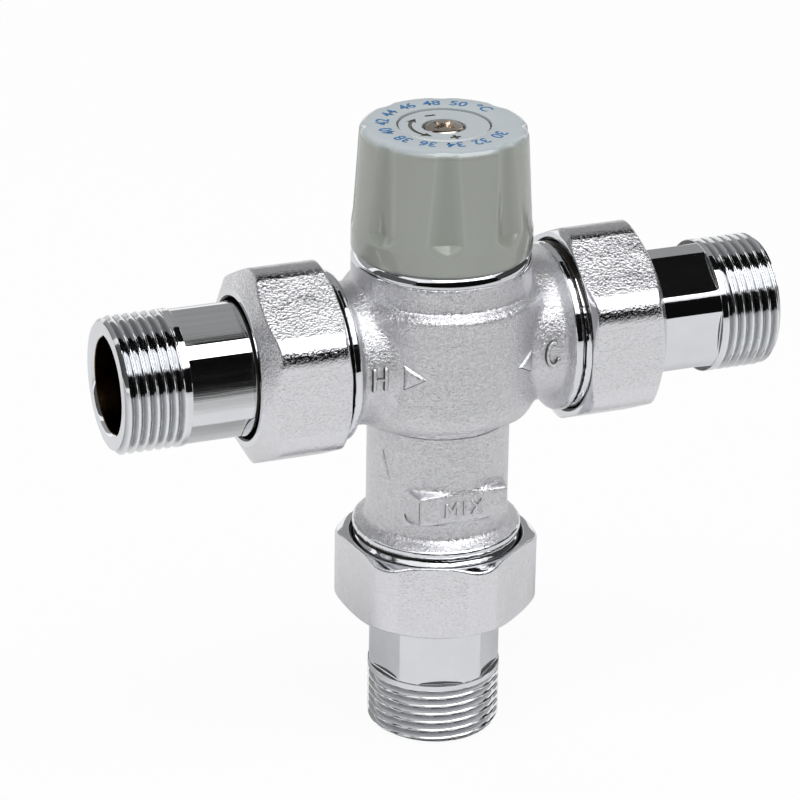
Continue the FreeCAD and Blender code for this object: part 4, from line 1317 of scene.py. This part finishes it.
# glowing screens that only the metal sees, painted reflections: the dim room in front of and over a white
# table, and the softbox's face
cards = [
    {"name": "frontScreen", "at": (0.0, -1.0, 0.41), "size": (3.0, 0.78),
     "tip": 90.0, "turn": 0.0, "glow": 0.004},
    {"name": "softboxFace", "at": (0.20, -0.458, 0.858), "size": (1.1, 0.69),
     "tip": 28.2, "turn": 0.0, "glow": 3.2},
    {"name": "ceilingScreen", "at": (0.0, 0.13, 1.0), "size": (2.6, 0.54),
     "tip": 0.0, "turn": 0.0, "glow": 0.006},
    {"name": "backScreen", "at": (0.0, 1.0, 1.35), "size": (3.0, 2.2),
     "tip": 90.0, "turn": 0.0, "glow": 0.32},
    {"name": "leftScreen", "at": (-1.3, -0.2, 0.55), "size": (1.6, 0.86),
     "tip": 90.0, "turn": 90.0, "glow": 0.09},
    {"name": "rightScreen", "at": (1.3, -0.2, 0.55), "size": (1.6, 0.86),
     "tip": 90.0, "turn": 90.0, "glow": 0.05},
]


def makeCard(card):
    paint = finish(card["name"])
    light = paint.node("Emission", None, {"Color": shade(1, 1, 1), "Strength": card["glow"]})
    paint.node("OutputMaterial", None, {"Surface": light})
    wide, tall = card["size"]
    piece = newPiece(card["name"], flatSheet(wide / 2, tall / 2, 0), [paint.owner], 0)
    turned = Matrix.Rotation(radians(card["turn"]), 4, "Z") @ Matrix.Rotation(radians(card["tip"]), 4, "X")
    piece.matrix_world = Matrix.Translation(card["at"]) @ turned
    for ray in ("camera", "diffuse", "shadow", "transmission", "volume_scatter"):
        setattr(piece, "visible_" + ray, False)


lamps = [
    {"name": "softbox", "at": (-0.06, -0.28, 1.05), "size": (1.0, 0.5), "power": 6.8},
    {"name": "sweepLamp", "at": (-0.35, 0.95, 0.55), "size": (0.9, 0.6), "power": 2.4},
]


def makeLamp(lamp):
    light = bpy.data.lights.new(lamp["name"], "AREA")
    light.shape = "RECTANGLE"
    light.size, light.size_y = lamp["size"]
    light.energy = lamp["power"]
    holder = bpy.data.objects.new(lamp["name"], light)
    look = Vector(stage["aim"]) - Vector(lamp["at"])
    holder.matrix_world = Matrix.Translation(lamp["at"]) @ look.to_track_quat("-Z", "Y").to_matrix().to_4x4()
    holder.visible_glossy = False
    bpy.context.scene.collection.objects.link(holder)


makeFloor()
makeWorld()
for card in cards:
    makeCard(card)
for lamp in lamps:
    makeLamp(lamp)
print("stage set")


# camera, fitted to the photograph

view = {"at": (-0.2512, -0.6210, 0.3669), "right": (0.9334, -0.3584, 0.0147), "up": (0.1331, 0.3840, 0.9137),
        "back": (-0.3331, -0.8509, 0.4061), "lens": 168.75, "sensor": 36.0, "near": 0.01}
lensData = bpy.data.cameras.new("photoCamera")
lensData.sensor_width = view["sensor"]
lensData.lens = view["lens"]
lensData.clip_start = view["near"]
cameraRig = bpy.data.objects.new("photoCamera", lensData)
axes = Matrix((view["right"], view["up"], view["back"])).transposed()
cameraRig.matrix_world = Matrix.Translation(view["at"]) @ axes.to_4x4()
bpy.context.scene.collection.objects.link(cameraRig)
bpy.context.scene.camera = cameraRig
bpy.context.scene.view_settings.view_transform = "Standard"
print("camera set")

bpy.context.view_layer.update()
